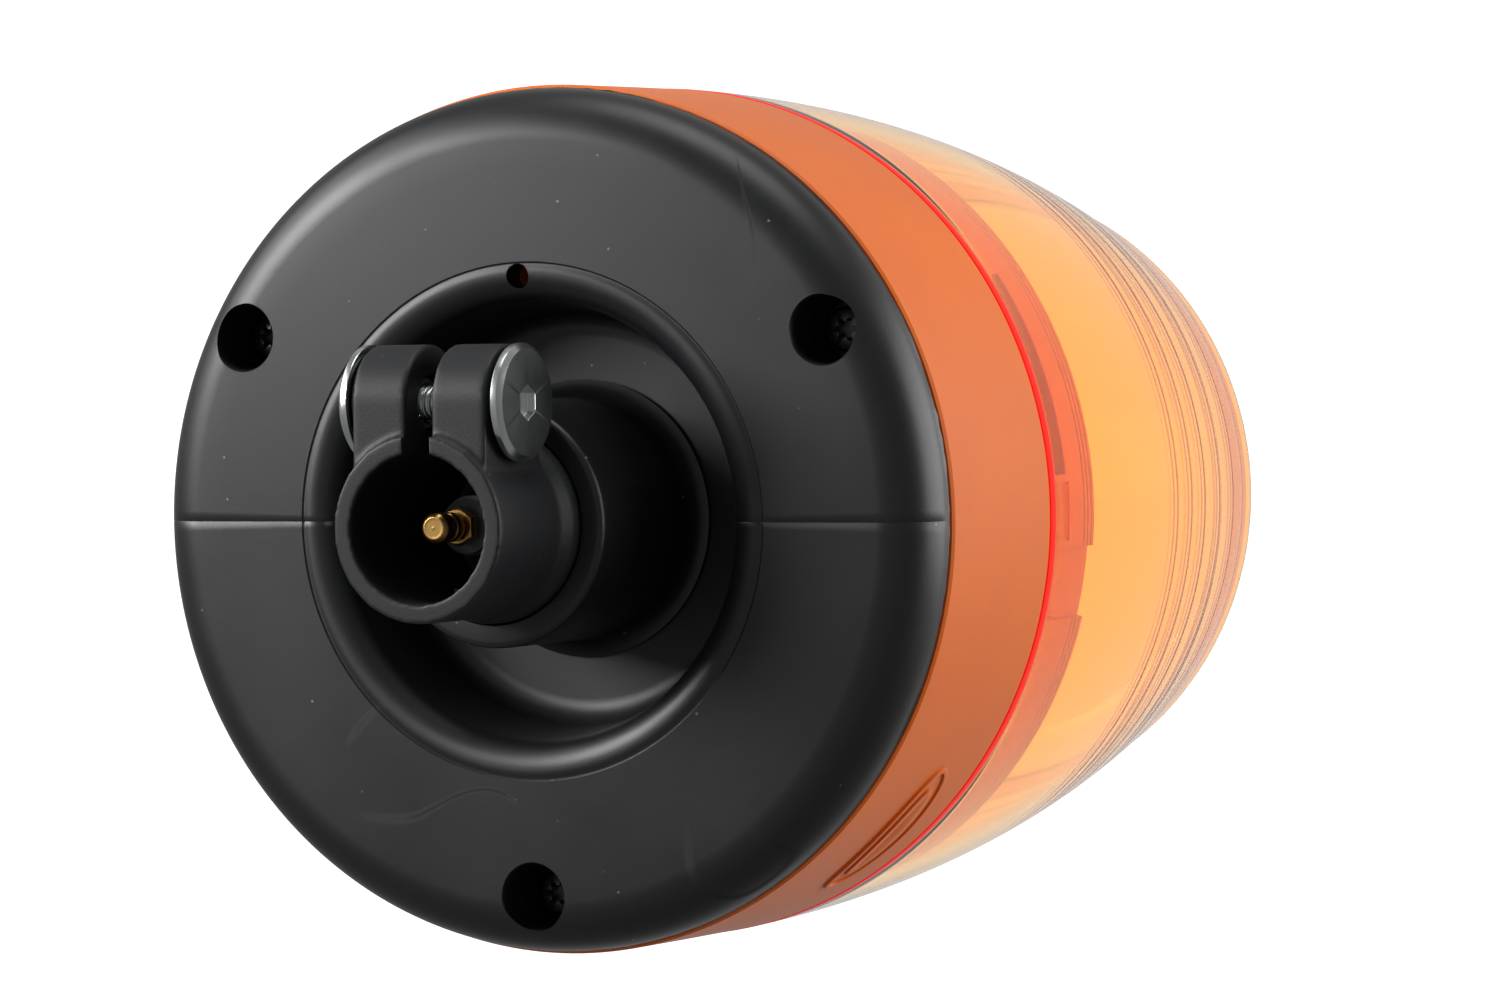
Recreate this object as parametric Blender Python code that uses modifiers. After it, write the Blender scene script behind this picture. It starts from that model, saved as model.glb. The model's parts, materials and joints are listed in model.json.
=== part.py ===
"""Amber rotating beacon on a flexible rubber foot, with a clamp socket for a 24 mm mounting pole.

Units are metres and +Z points up. The origin is the centre of the socket's mouth, Z is the shared
axis of the socket and the lamp, and the clamp's ears point to +Y.
"""

import math

import bmesh
import bpy

MM = 0.001
GAP = 0.3 * MM  # left between neighbouring solids

# Clamp socket for the pole
POLE_BORE_R = 12.25 * MM
SOCKET_R = 15.4 * MM
SOCKET_ROOT_R = 16.5 * MM  # the thicker end that the rubber grips
BORE_DEPTH = 36 * MM
SOCKET_LENGTH = 40 * MM
EAR_OUTER_X = 12.2 * MM
EAR_R = 9.6 * MM
SLOT_WIDTH = 5 * MM
SLOT_END_Z = 22 * MM
BOLT_Y = 20.4 * MM
BOLT_Z = 10.7 * MM
BOLT_R = 3 * MM
BOLT_HEAD_R = 9.7 * MM
BOLT_HEAD_THICK = 1.8 * MM
WASHER_THICK = 0.5 * MM
SLEEVE_R = 4.2 * MM

# Sprung contact on the socket's axis
CONTACT_TIP_Z = 5.8 * MM
CONTACT_R = 2.45 * MM
STUD_R = 1.5 * MM
INSULATOR_R = 5 * MM
INSULATOR_FACE_Z = 17 * MM

# Rubber foot and neck
NECK_END_Z = 26 * MM
NECK_R = 20.7 * MM
FOOT_FACE_Z = 39 * MM
FOOT_R = 73.2 * MM
FOOT_EDGE_R = 9 * MM
MOAT_LIP_R = 42 * MM
MOAT_FILLET_R = 5 * MM
MOAT_WALL_R = 35.5 * MM
MOAT_ROOF_Z = 60.5 * MM
MOAT_ROOF_THICK = 3.5 * MM
FOOT_HAT_R = 38.6 * MM
LEAD_HOLE_R = 14 * MM  # the foot's opening above the neck
SCREW_CIRCLE_R = 63.4 * MM
SCREW_ANGLES = (30, 150, 270)
COUNTERBORE_R = 5.7 * MM
COUNTERBORE_DEPTH = 14.6 * MM
FOOT_SCREW_R = 2.5 * MM
FOOT_SCREW_HOLE_R = 2.9 * MM
FOOT_SCREW_HEAD_R = 4.1 * MM
FOOT_SCREW_HEAD_THICK = 4 * MM
FOOT_SCREW_END_Z = 70 * MM
DRAIN_CIRCLE_R = 41.4 * MM
DRAIN_ANGLE = 88
DRAIN_R = 2.1 * MM

# Housing and lens
BAND_BOTTOM_Z = 49 * MM
BAND_TOP_Z = 88.4 * MM
BAND_R = 74.4 * MM
FLOOR_Z = 57.3 * MM
FLOOR_THICK = 3 * MM
COLLAR_TOP_Z = 113 * MM
COLLAR_R = 71.2 * MM
COLLAR_WALL = 2.6 * MM
CHASSIS_POST_R = 4.5 * MM
FOOT_POST_R = 5.5 * MM
FOOT_POST_TOP_Z = 74 * MM
LENS_R = 74.5 * MM
LENS_WALL = 2.5 * MM
LENS_SHOULDER_Z = 220 * MM
LENS_TAPER = 14 * MM  # how much the lens narrows between its rim and its shoulder
LENS_SHOULDER_R = 14.5 * MM
LUG_ANGLES = (60, 180, 300)
LUG_WIDTH = 8  # degrees
LENS_TWIST = 20  # degrees that the lens turns to unlock
LUG_Z = (97 * MM, 100 * MM)

# Chassis and what stands on it
CHASSIS_Z = 68 * MM
CHASSIS_THICK = 2 * MM
CHASSIS_R = 57 * MM
CHASSIS_SCREW_CIRCLE_R = 51 * MM
CHASSIS_SCREW_ANGLES = (90, 210, 330)
PEDESTAL_R = 9 * MM
PEDESTAL_TOP_Z = 116 * MM
LIGHT_Z = 142 * MM
BOARD_Z = 74 * MM
SMALL_SCREW_R = 1.2 * MM
LEAD_R = 0.9 * MM

# Gear drive and reflector
GEAR_MODULE = 1.2 * MM
GEAR_TEETH = 48
PINION_TEETH = 12
GEAR_Z = 91.5 * MM
GEAR_THICK = 6 * MM
MOTOR_X = -GEAR_MODULE * (GEAR_TEETH + PINION_TEETH) / 2
MOTOR_R = 12 * MM
REFLECTOR_FOCUS = 13 * MM
REFLECTOR_FRONT_X = 14 * MM
REFLECTOR_WALL = 1.5 * MM
REFLECTOR_SCREW_Y = 20.5 * MM

FINE, MEDIUM, COARSE = 48, 24, 14  # facets round a turned piece, by its size


# ---------------------------------------------------------------- scene and materials


def clear_scene():
    for item in list(bpy.data.objects):
        bpy.data.objects.remove(item, do_unlink=True)


def new_collection(name):
    collection = bpy.data.collections.new(name)
    bpy.context.scene.collection.children.link(collection)
    return collection


def finish(name, colour, roughness, metallic=0.0, transmission=0.0):
    """A plain Principled material."""
    material = bpy.data.materials.new(name)
    material.use_nodes = True
    shader = material.node_tree.nodes["Principled BSDF"]
    shader.inputs["Base Color"].default_value = (*colour, 1)
    shader.inputs["Roughness"].default_value = roughness
    shader.inputs["Metallic"].default_value = metallic
    shader.inputs["Transmission Weight"].default_value = transmission
    return material


clear_scene()
PARTS = new_collection("amber_beacon")
CUTTERS = new_collection("cutters")

RUBBER = finish("black_rubber", (0.02, 0.02, 0.022), 0.55)
NYLON = finish("black_nylon", (0.015, 0.015, 0.016), 0.5)
SATIN_ORANGE = finish("satin_orange_plastic", (0.74, 0.25, 0.1), 0.45)
AMBER = finish("amber_lens", (1.0, 0.3, 0.02), 0.05, transmission=1.0)
GLASS = finish("clear_glass", (0.95, 0.95, 0.95), 0.02, transmission=1.0)
ZINC = finish("zinc_plated_steel", (0.62, 0.62, 0.6), 0.3, 1.0)
DARK_STEEL = finish("dark_steel", (0.12, 0.12, 0.12), 0.4, 1.0)
BRASS = finish("brass", (0.75, 0.55, 0.25), 0.3, 1.0)
COPPER = finish("copper", (0.7, 0.35, 0.2), 0.35, 1.0)
GREY_PLASTIC = finish("grey_plastic", (0.25, 0.25, 0.26), 0.5)
WHITE_PLASTIC = finish("white_acetal", (0.8, 0.8, 0.76), 0.4)
MIRROR = finish("mirror_aluminium", (0.9, 0.9, 0.9), 0.05, 1.0)
BOARD_GREEN = finish("circuit_board_green", (0.03, 0.2, 0.08), 0.45)
RED_WIRE = finish("red_insulation", (0.5, 0.03, 0.02), 0.45)
BROWN_WIRE = finish("brown_insulation", (0.15, 0.06, 0.03), 0.45)


# ---------------------------------------------------------------- shapes


def on_circle(radius, degrees):
    angle = math.radians(degrees)
    return radius * math.cos(angle), radius * math.sin(angle)


def arc(centre, radius, start, end, count):
    """Points (r, z) on an arc, its ends included; angles in degrees, 0 pointing outwards."""
    points = []
    for step in range(count):
        angle = math.radians(start + (end - start) * step / (count - 1))
        points.append((centre[0] + radius * math.cos(angle), centre[1] + radius * math.sin(angle)))
    return points


def add_object(name, data, material=None, location=(0, 0, 0), rotation=(0, 0, 0)):
    """With a material it is a part; without, a cutter or other helper."""
    item = bpy.data.objects.new(name, data)
    item.location = location
    item.rotation_euler = rotation
    if material:
        data.materials.append(material)
        PARTS.objects.link(item)
    else:
        CUTTERS.objects.link(item)
        item.hide_render = True
        item.display_type = "WIRE"
    return item


def mesh_from(name, shape):
    mesh = bpy.data.meshes.new(name)
    shape.to_mesh(mesh)
    shape.free()
    return mesh


def turned(name, outline, material=None, steps=MEDIUM, closed=True, **place):
    """A profile of (r, z) points spun about Z. It runs down its outer side first."""
    shape = bmesh.new()
    corners = [shape.verts.new((r, 0, z)) for r, z in outline]
    pairs = list(zip(corners, corners[1:]))
    if closed:
        pairs.append((corners[-1], corners[0]))
    for pair in pairs:
        shape.edges.new(pair)
    item = add_object(name, mesh_from(name, shape), material, **place)
    screw = item.modifiers.new("turn", "SCREW")
    screw.steps = steps
    screw.render_steps = steps
    screw.use_merge_vertices = True
    screw.merge_threshold = 0.00001
    screw.use_smooth_shade = True
    return item


def ring(name, inner, outer, low, high, material=None, steps=MEDIUM, **place):
    """A flat ring or a tube."""
    outline = [(outer, high), (outer, low), (inner, low), (inner, high)]
    return turned(name, outline, material, steps, **place)


def rod(name, radius, low, high, material=None, steps=COARSE, **place):
    """A plain round bar along Z."""
    outline = [(0, high), (radius, high), (radius, low), (0, low)]
    return turned(name, outline, material, steps, closed=False, **place)


def box(name, low, high, material=None, **place):
    """A box between two corners."""
    shape = bmesh.new()
    bmesh.ops.create_cube(shape, size=1)
    for vert in shape.verts:
        vert.co = [a + (b - a) * (c + 0.5) for a, b, c in zip(low, high, vert.co)]
    return add_object(name, mesh_from(name, shape), material, **place)


def prism(name, radius, sides, low, high, material=None, **place):
    """A regular prism along Z; radius is to its corners."""
    shape = bmesh.new()
    bmesh.ops.create_cone(
        shape, cap_ends=True, segments=sides, radius1=radius, radius2=radius, depth=high - low
    )
    bmesh.ops.translate(shape, verts=shape.verts, vec=(0, 0, (low + high) / 2))
    return add_object(name, mesh_from(name, shape), material, **place)


def wire(name, route, radius, material):
    """A bent wire or lead along a list of points."""
    curve = bpy.data.curves.new(name, "CURVE")
    curve.dimensions = "3D"
    curve.bevel_depth = radius
    curve.bevel_resolution = 2
    curve.use_fill_caps = True
    spline = curve.splines.new("POLY")
    spline.points.add(len(route) - 1)
    for point, place in zip(spline.points, route):
        point.co = (*place, 1)
    return add_object(name, curve, material)


def smooth_route(places, between=3):
    """A Catmull-Rom curve through the given places, with this many points for each stretch."""
    ends = [places[0], *places, places[-1]]
    route = []
    for a, b, c, d in zip(ends, ends[1:], ends[2:], ends[3:]):
        for step in range(between):
            t = step / between
            route.append(
                tuple(
                    0.5
                    * (
                        2 * q
                        + (r - p) * t
                        + (2 * p - 5 * q + 4 * r - s) * t**2
                        + (3 * q - p - 3 * r + s) * t**3
                    )
                    for p, q, r, s in zip(a, b, c, d)
                )
            )
    return [*route, tuple(places[-1])]


def helix(radius, low, high, turns, per_turn=8):
    count = int(turns * per_turn)
    points = []
    for step in range(count + 1):
        angle = 2 * math.pi * step / per_turn
        height = low + (high - low) * step / count
        points.append((radius * math.cos(angle), radius * math.sin(angle), height))
    return points


def combine(target, tool, operation):
    modifier = target.modifiers.new(tool.name, "BOOLEAN")
    modifier.object = tool
    modifier.operation = operation


def cut(target, *tools):
    for tool in tools:
        combine(target, tool, "DIFFERENCE")


def join(target, *tools):
    for tool in tools:
        combine(target, tool, "UNION")


def gear_outline(teeth, turn):
    """Corner points of a spur gear; turn is the angle of one tooth's centre, in degrees."""
    pitch_r = GEAR_MODULE * teeth / 2
    root_r = pitch_r - 1.17 * GEAR_MODULE
    tip_r = pitch_r + 0.92 * GEAR_MODULE
    pitch = 360 / teeth
    points = []
    for tooth in range(teeth):
        centre = turn + tooth * pitch
        for radius, share in ((root_r, -0.31), (tip_r, -0.12), (tip_r, 0.12), (root_r, 0.31)):
            points.append(on_circle(radius, centre + share * pitch))
    return points


def gear(name, teeth, turn, bore_r, holes, location, material):
    """A flat gear, its outline and its round holes filled and given its thickness."""
    curve = bpy.data.curves.new(name, "CURVE")
    curve.dimensions = "2D"
    curve.fill_mode = "BOTH"
    curve.extrude = GEAR_THICK / 2
    outlines = [gear_outline(teeth, turn)]
    for x, y, radius in [(0, 0, bore_r), *holes]:
        circle = [on_circle(radius, 360 * step / COARSE) for step in range(COARSE)]
        outlines.append([(x + dx, y + dy) for dx, dy in circle])
    for outline in outlines:
        spline = curve.splines.new("POLY")
        spline.use_cyclic_u = True
        spline.points.add(len(outline) - 1)
        for point, (x, y) in zip(spline.points, outline):
            point.co = (x, y, 0, 1)
    return add_object(name, curve, material, location=location)


# ---------------------------------------------------------------- clamp socket


def make_clamp_socket():
    """Split nylon socket with two ears; the pole slides in from below."""
    rough_bore_r = POLE_BORE_R - 0.5 * MM  # the bore is cut to size once the ears are joined on
    outline = [
        (SOCKET_ROOT_R, SOCKET_LENGTH),
        (SOCKET_ROOT_R, SLOT_END_Z + 2 * MM),
        (SOCKET_R, SLOT_END_Z - 1 * MM),
        (SOCKET_R, 0.5 * MM),
        (SOCKET_R - 0.5 * MM, 0),
        (POLE_BORE_R + 0.5 * MM, 0),
        (rough_bore_r, 1 * MM),
        (rough_bore_r, BORE_DEPTH - 1 * MM),
        (4.2 * MM, BORE_DEPTH - 1 * MM),
        (4.2 * MM, SOCKET_LENGTH),
    ]
    socket = turned("clamp_socket", outline, NYLON, 32)
    along_x = {"location": (0, BOLT_Y, BOLT_Z), "rotation": (0, math.pi / 2, 0)}
    ear_block = box(
        "ear_block",
        (-EAR_OUTER_X, POLE_BORE_R * 0.5, BOLT_Z - EAR_R),
        (EAR_OUTER_X, BOLT_Y, BOLT_Z + EAR_R),
    )
    ear_round = rod("ear_round", EAR_R, -EAR_OUTER_X, EAR_OUTER_X, steps=MEDIUM, **along_x)
    bore = rod("bore_cut", POLE_BORE_R, -1 * MM, BORE_DEPTH, steps=32)
    slot = box(
        "slot_cut",
        (-SLOT_WIDTH / 2, POLE_BORE_R * 0.5, -1 * MM),
        (SLOT_WIDTH / 2, BOLT_Y + EAR_R + 1 * MM, SLOT_END_Z),
    )
    bolt_hole = rod("bolt_hole_cut", BOLT_R + GAP, -EAR_OUTER_X - 1 * MM, EAR_OUTER_X + 1 * MM, **along_x)
    sleeve_hole = rod("sleeve_hole_cut", SLEEVE_R + GAP, 0, EAR_OUTER_X + 1 * MM, **along_x)
    tail_slot = box(
        "earth_tail_cut",
        (-1.9 * MM, -12 * MM, BORE_DEPTH - 1 * MM),
        (1.9 * MM, -10.6 * MM, SOCKET_LENGTH + 1 * MM),
    )
    join(socket, ear_block, ear_round)
    cut(socket, bore, slot, bolt_hole, sleeve_hole, tail_slot)


def make_clamp_bolt():
    """Disc-headed bolt on the -X side, and the disc-headed sleeve nut that it screws into."""
    head_in = EAR_OUTER_X + WASHER_THICK + 2 * GAP
    head_out = head_in + BOLT_HEAD_THICK
    bevel = 0.6 * MM
    outward = {"location": (0, BOLT_Y, BOLT_Z), "rotation": (0, -math.pi / 2, 0)}
    bolt_outline = [
        (0, head_out),
        (BOLT_HEAD_R - bevel, head_out),
        (BOLT_HEAD_R, head_out - bevel),
        (BOLT_HEAD_R, head_in),
        (BOLT_R, head_in),
        (BOLT_R, -9 * MM),
        (0, -9 * MM),
    ]
    bolt = turned("clamp_bolt", bolt_outline, ZINC, MEDIUM, closed=False, **outward)
    cut(bolt, prism("bolt_hex_cut", 3.45 * MM, 6, head_out - 1.3 * MM, head_out + 1 * MM, **outward))
    washer = (BOLT_R + GAP, 8.4 * MM, EAR_OUTER_X + GAP, EAR_OUTER_X + GAP + WASHER_THICK)
    ring("bolt_washer", *washer, DARK_STEEL, MEDIUM, **outward)

    outward = {"location": (0, BOLT_Y, BOLT_Z), "rotation": (0, math.pi / 2, 0)}
    sleeve_outline = [
        (BOLT_HEAD_R - bevel, head_out),
        (BOLT_HEAD_R, head_out - bevel),
        (BOLT_HEAD_R, head_in),
        (SLEEVE_R, head_in),
        (SLEEVE_R, SLOT_WIDTH / 2 + 1 * MM),
        (BOLT_R + GAP, SLOT_WIDTH / 2 + 1 * MM),
        (BOLT_R + GAP, head_out),
    ]
    turned("clamp_nut", sleeve_outline, ZINC, MEDIUM, **outward)
    washer = (SLEEVE_R + GAP, 8.4 * MM, EAR_OUTER_X + GAP, EAR_OUTER_X + GAP + WASHER_THICK)
    ring("nut_washer", *washer, DARK_STEEL, MEDIUM, **outward)


# ---------------------------------------------------------------- sprung contact


def make_contact():
    """Centre contact: a brass cap on a spring, sliding on a stud held in an insulator."""
    cap_rim_z = CONTACT_TIP_Z + 6.2 * MM
    cap_floor_z = CONTACT_TIP_Z + 1.7 * MM
    stud_end_z = CONTACT_TIP_Z + 4.2 * MM
    nut_z = cap_rim_z + 1.5 * MM
    hole_r = STUD_R + GAP
    cap_outline = [
        (0, cap_floor_z),
        (hole_r, cap_floor_z),
        (hole_r, cap_rim_z),
        (CONTACT_R, cap_rim_z),
        (CONTACT_R, CONTACT_TIP_Z + 0.6 * MM),
        (CONTACT_R - 0.6 * MM, CONTACT_TIP_Z),
        (0, CONTACT_TIP_Z),
    ]
    turned("contact_plunger", cap_outline, BRASS, COARSE, closed=False)
    coil = helix(1.1 * MM, cap_floor_z + 0.6 * MM, stud_end_z - 0.6 * MM, 3)
    wire("contact_spring", coil, 0.2 * MM, ZINC)
    rod("contact_stud", STUD_R, stud_end_z, SOCKET_LENGTH + 3 * MM, BRASS)
    nut = prism("contact_nut", 3.25 * MM, 6, nut_z, nut_z + 2.4 * MM, BRASS)
    cut(nut, rod("contact_nut_cut", hole_r, nut_z - 1 * MM, nut_z + 4 * MM))
    stub_r = 3.9 * MM
    shoulder_z = BORE_DEPTH - GAP
    insulator_outline = [
        (stub_r, SOCKET_LENGTH),
        (stub_r, shoulder_z),
        (INSULATOR_R, shoulder_z),
        (INSULATOR_R, INSULATOR_FACE_Z + 0.4 * MM),
        (INSULATOR_R - 0.4 * MM, INSULATOR_FACE_Z),
        (hole_r, INSULATOR_FACE_Z),
        (hole_r, SOCKET_LENGTH),
    ]
    turned("contact_insulator", insulator_outline, GREY_PLASTIC, COARSE)
    tag_z = SOCKET_LENGTH + GAP
    ring("contact_tag", hole_r, 4 * MM, tag_z, tag_z + 0.8 * MM, BRASS, COARSE)


def make_earth_contact():
    """Springy strip inside the bore that touches the pole; its tail goes up through the socket's floor."""
    strip = ring("earth_contact", 11.2 * MM, 11.9 * MM, 20 * MM, BORE_DEPTH - GAP, BRASS, 32)
    width = box("earth_strip_width", (-4 * MM, -13 * MM, 19 * MM), (4 * MM, -9 * MM, BORE_DEPTH))
    combine(strip, width, "INTERSECT")
    tail = box(
        "earth_tail", (-1.5 * MM, -11.7 * MM, 30 * MM), (1.5 * MM, -11.25 * MM, SOCKET_LENGTH + 2 * MM)
    )
    join(strip, tail)


# ---------------------------------------------------------------- rubber


def make_neck():
    """Thick rubber sleeve that grips the socket and bends above it."""
    top_z = MOAT_ROOF_Z - GAP
    outline = [
        (NECK_R + 3.5 * MM, top_z),
        (NECK_R + 1.2 * MM, top_z - 2 * MM),
        (NECK_R, top_z - 5 * MM),
        (NECK_R, NECK_END_Z + 1 * MM),
        (NECK_R - 1 * MM, NECK_END_Z),
        (SOCKET_ROOT_R + GAP, NECK_END_Z),
        (SOCKET_ROOT_R + GAP, SOCKET_LENGTH + GAP),
        (13.2 * MM, SOCKET_LENGTH + GAP),
        (13.2 * MM, SOCKET_LENGTH + 4 * MM),
        (9 * MM, SOCKET_LENGTH + 6 * MM),
        (9 * MM, top_z),
    ]
    turned("rubber_neck", outline, RUBBER, 32)


def make_foot():
    """Rubber foot: a thick rounded pad that plugs into the housing, with a moat round the neck."""
    plug_r = COLLAR_R - GAP
    plug_top_z = FLOOR_Z - GAP
    flange_top_z = BAND_BOTTOM_Z - GAP
    roof_top_z = MOAT_ROOF_Z + MOAT_ROOF_THICK
    outline = [
        (plug_r, plug_top_z),
        (plug_r, flange_top_z),
        (FOOT_R, flange_top_z),
        *arc((FOOT_R - FOOT_EDGE_R, FOOT_FACE_Z + FOOT_EDGE_R), FOOT_EDGE_R, 0, -90, 5),
        *arc((MOAT_LIP_R, FOOT_FACE_Z + MOAT_FILLET_R), MOAT_FILLET_R, -90, -180, 4),
        (MOAT_WALL_R, MOAT_ROOF_Z),
        (LEAD_HOLE_R, MOAT_ROOF_Z),
        (LEAD_HOLE_R, roof_top_z),
        (FOOT_HAT_R, roof_top_z),
        (FOOT_HAT_R, plug_top_z),
    ]
    foot = turned("rubber_foot", outline, RUBBER, FINE)
    for number, degrees in enumerate(SCREW_ANGLES, 1):
        x, y = on_circle(SCREW_CIRCLE_R, degrees)
        floor_z = FOOT_FACE_Z + COUNTERBORE_DEPTH
        stepped = [
            (0, FLOOR_Z + 1 * MM),
            (FOOT_SCREW_HOLE_R, FLOOR_Z + 1 * MM),
            (FOOT_SCREW_HOLE_R, floor_z),
            (COUNTERBORE_R, floor_z),
            (COUNTERBORE_R, FOOT_FACE_Z - 1 * MM),
            (0, FOOT_FACE_Z - 1 * MM),
        ]
        name = f"counterbore_cut_{number}"
        cut(foot, turned(name, stepped, steps=COARSE, closed=False, location=(x, y, 0)))
    place = {"location": (*on_circle(DRAIN_CIRCLE_R, DRAIN_ANGLE), 0), "steps": 12}
    cut(foot, rod("foot_drain_cut", DRAIN_R, FOOT_FACE_Z - 1 * MM, FLOOR_Z + 1 * MM, **place))


def make_foot_screws():
    """Three pan-head screws up through the foot into the housing, each on a washer."""
    washer_top_z = FOOT_FACE_Z + COUNTERBORE_DEPTH - GAP
    washer_z = washer_top_z - 1 * MM
    head_top_z = washer_z - GAP
    head_z = head_top_z - FOOT_SCREW_HEAD_THICK
    for number, degrees in enumerate(SCREW_ANGLES, 1):
        x, y = on_circle(SCREW_CIRCLE_R, degrees)
        outline = [
            (0, FOOT_SCREW_END_Z),
            (FOOT_SCREW_R, FOOT_SCREW_END_Z),
            (FOOT_SCREW_R, head_top_z),
            (FOOT_SCREW_HEAD_R, head_top_z),
            (FOOT_SCREW_HEAD_R, head_z + 0.8 * MM),
            (FOOT_SCREW_HEAD_R - 0.9 * MM, head_z),
            (0, head_z),
        ]
        place = {"location": (x, y, 0)}
        screw = turned(f"foot_screw_{number}", outline, DARK_STEEL, COARSE, closed=False, **place)
        cut(screw, prism(f"drive_cut_{number}", 2 * MM, 6, head_z - 1 * MM, head_z + 1.8 * MM, **place))
        washer = (FOOT_SCREW_HOLE_R, COUNTERBORE_R - 0.5 * MM, washer_z, washer_top_z)
        ring(f"foot_washer_{number}", *washer, DARK_STEEL, COARSE, **place)


# ---------------------------------------------------------------- housing and lens


def make_housing():
    """Satin orange cup: its band shows between foot and lens, and its collar holds the lens."""
    inner_r = BAND_R - 3.4 * MM
    collar_in = COLLAR_R - COLLAR_WALL
    floor_top_z = FLOOR_Z + FLOOR_THICK
    groove = (LENS_R - 2.6 * MM, LENS_R - 1.2 * MM)
    groove_z = BAND_TOP_Z - 1.2 * MM
    outline = [
        (BAND_R, BAND_TOP_Z),
        (BAND_R - 0.2 * MM, BAND_BOTTOM_Z + 20 * MM),
        (BAND_R - 0.6 * MM, BAND_BOTTOM_Z),
        (COLLAR_R, BAND_BOTTOM_Z),
        (COLLAR_R, FLOOR_Z),
        (FOOT_HAT_R + GAP, FLOOR_Z),
        (FOOT_HAT_R + GAP, floor_top_z),
        (inner_r, floor_top_z),
        (inner_r, BAND_TOP_Z - 5 * MM),
        (collar_in, BAND_TOP_Z - 2 * MM),
        (collar_in, COLLAR_TOP_Z),
        (COLLAR_R, COLLAR_TOP_Z),
        (COLLAR_R, BAND_TOP_Z),
        (groove[0], BAND_TOP_Z),
        (groove[0], groove_z),
        (groove[1], groove_z),
        (groove[1], BAND_TOP_Z),
    ]
    housing = turned("housing", outline, SATIN_ORANGE, FINE)
    short_post = (CHASSIS_POST_R, CHASSIS_Z - GAP)
    posts = [(CHASSIS_SCREW_CIRCLE_R, degrees, *short_post) for degrees in CHASSIS_SCREW_ANGLES]
    posts += [(SCREW_CIRCLE_R, degrees, FOOT_POST_R, FOOT_POST_TOP_Z) for degrees in SCREW_ANGLES]
    for number, (circle_r, degrees, radius, top_z) in enumerate(posts, 1):
        x, y = on_circle(circle_r, degrees)
        place = {"location": (x, y, 0), "steps": 16}
        join(housing, rod(f"housing_post_{number}", radius, FLOOR_Z + 1 * MM, top_z, **place))
    for number, degrees in enumerate(CHASSIS_SCREW_ANGLES, 1):
        x, y = on_circle(CHASSIS_SCREW_CIRCLE_R, degrees)
        place = {"location": (x, y, 0), "steps": 12}
        cut(housing, rod(f"chassis_thread_cut_{number}", 1.8 * MM, FLOOR_Z + 3.7 * MM, CHASSIS_Z, **place))
    for number, degrees in enumerate(SCREW_ANGLES, 1):
        x, y = on_circle(SCREW_CIRCLE_R, degrees)
        place = {"location": (x, y, 0), "steps": 16}
        span = (FLOOR_Z - 1 * MM, FOOT_SCREW_END_Z + 1.5 * MM)
        cut(housing, rod(f"foot_thread_cut_{number}", FOOT_SCREW_R + GAP, *span, **place))
    place = {"location": (*on_circle(DRAIN_CIRCLE_R, DRAIN_ANGLE), 0), "steps": 12}
    cut(housing, rod("housing_drain_cut", DRAIN_R, FLOOR_Z - 1 * MM, floor_top_z + 1.7 * MM, **place))
    for number, degrees in enumerate(LUG_ANGLES, 1):
        cut(housing, *bayonet_slot(number, degrees))


def sector(name, degrees, span, radii, heights):
    """A curved block in the lens's wall or the collar's, from one angle over a span."""
    shape = bmesh.new()
    pieces = 3
    rings = []
    for step in range(pieces + 1):
        angle = degrees + span * step / pieces
        rings.append(
            [
                shape.verts.new((*on_circle(radius, angle), height))
                for radius, height in (
                    (radii[0], heights[0]),
                    (radii[1], heights[0]),
                    (radii[1], heights[1]),
                    (radii[0], heights[1]),
                )
            ]
        )
    for a, b in zip(rings, rings[1:]):
        for corner in range(4):
            following = (corner + 1) % 4
            shape.faces.new((a[corner], a[following], b[following], b[corner]))
    shape.faces.new(rings[0])
    shape.faces.new(rings[-1])
    bmesh.ops.recalc_face_normals(shape, faces=shape.faces)
    return add_object(name, mesh_from(name, shape))


def bayonet_slot(number, degrees):
    """The L-shaped slot that a lug of the lens turns in, and comes out of upwards."""
    start = degrees - LUG_WIDTH / 2 - 1
    span = LUG_WIDTH + LENS_TWIST + 1.5
    wall = (COLLAR_R - COLLAR_WALL - 1 * MM, COLLAR_R + 0.5 * MM)
    entry = start + LENS_TWIST
    run = sector(f"slot_run_cut_{number}", start, span, wall, (LUG_Z[0] - 0.6 * MM, LUG_Z[1] + 0.6 * MM))
    way_out = sector(
        f"slot_entry_cut_{number}", entry, LUG_WIDTH + 2, wall, (LUG_Z[0], COLLAR_TOP_Z + 1 * MM)
    )
    return run, way_out


def make_seal():
    """Rubber ring in the groove under the lens's rim."""
    inner, outer = LENS_R - 2.4 * MM, LENS_R - 1.4 * MM
    ring("lens_seal", inner, outer, BAND_TOP_Z - 1 * MM, BAND_TOP_Z, RUBBER, FINE)


def lens_radius(height):
    """Outer radius of the lens between its rim and its shoulder."""
    rim_z = BAND_TOP_Z + GAP
    return LENS_R - LENS_TAPER * ((height - rim_z) / (LENS_SHOULDER_Z - rim_z)) ** 2.1


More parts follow.
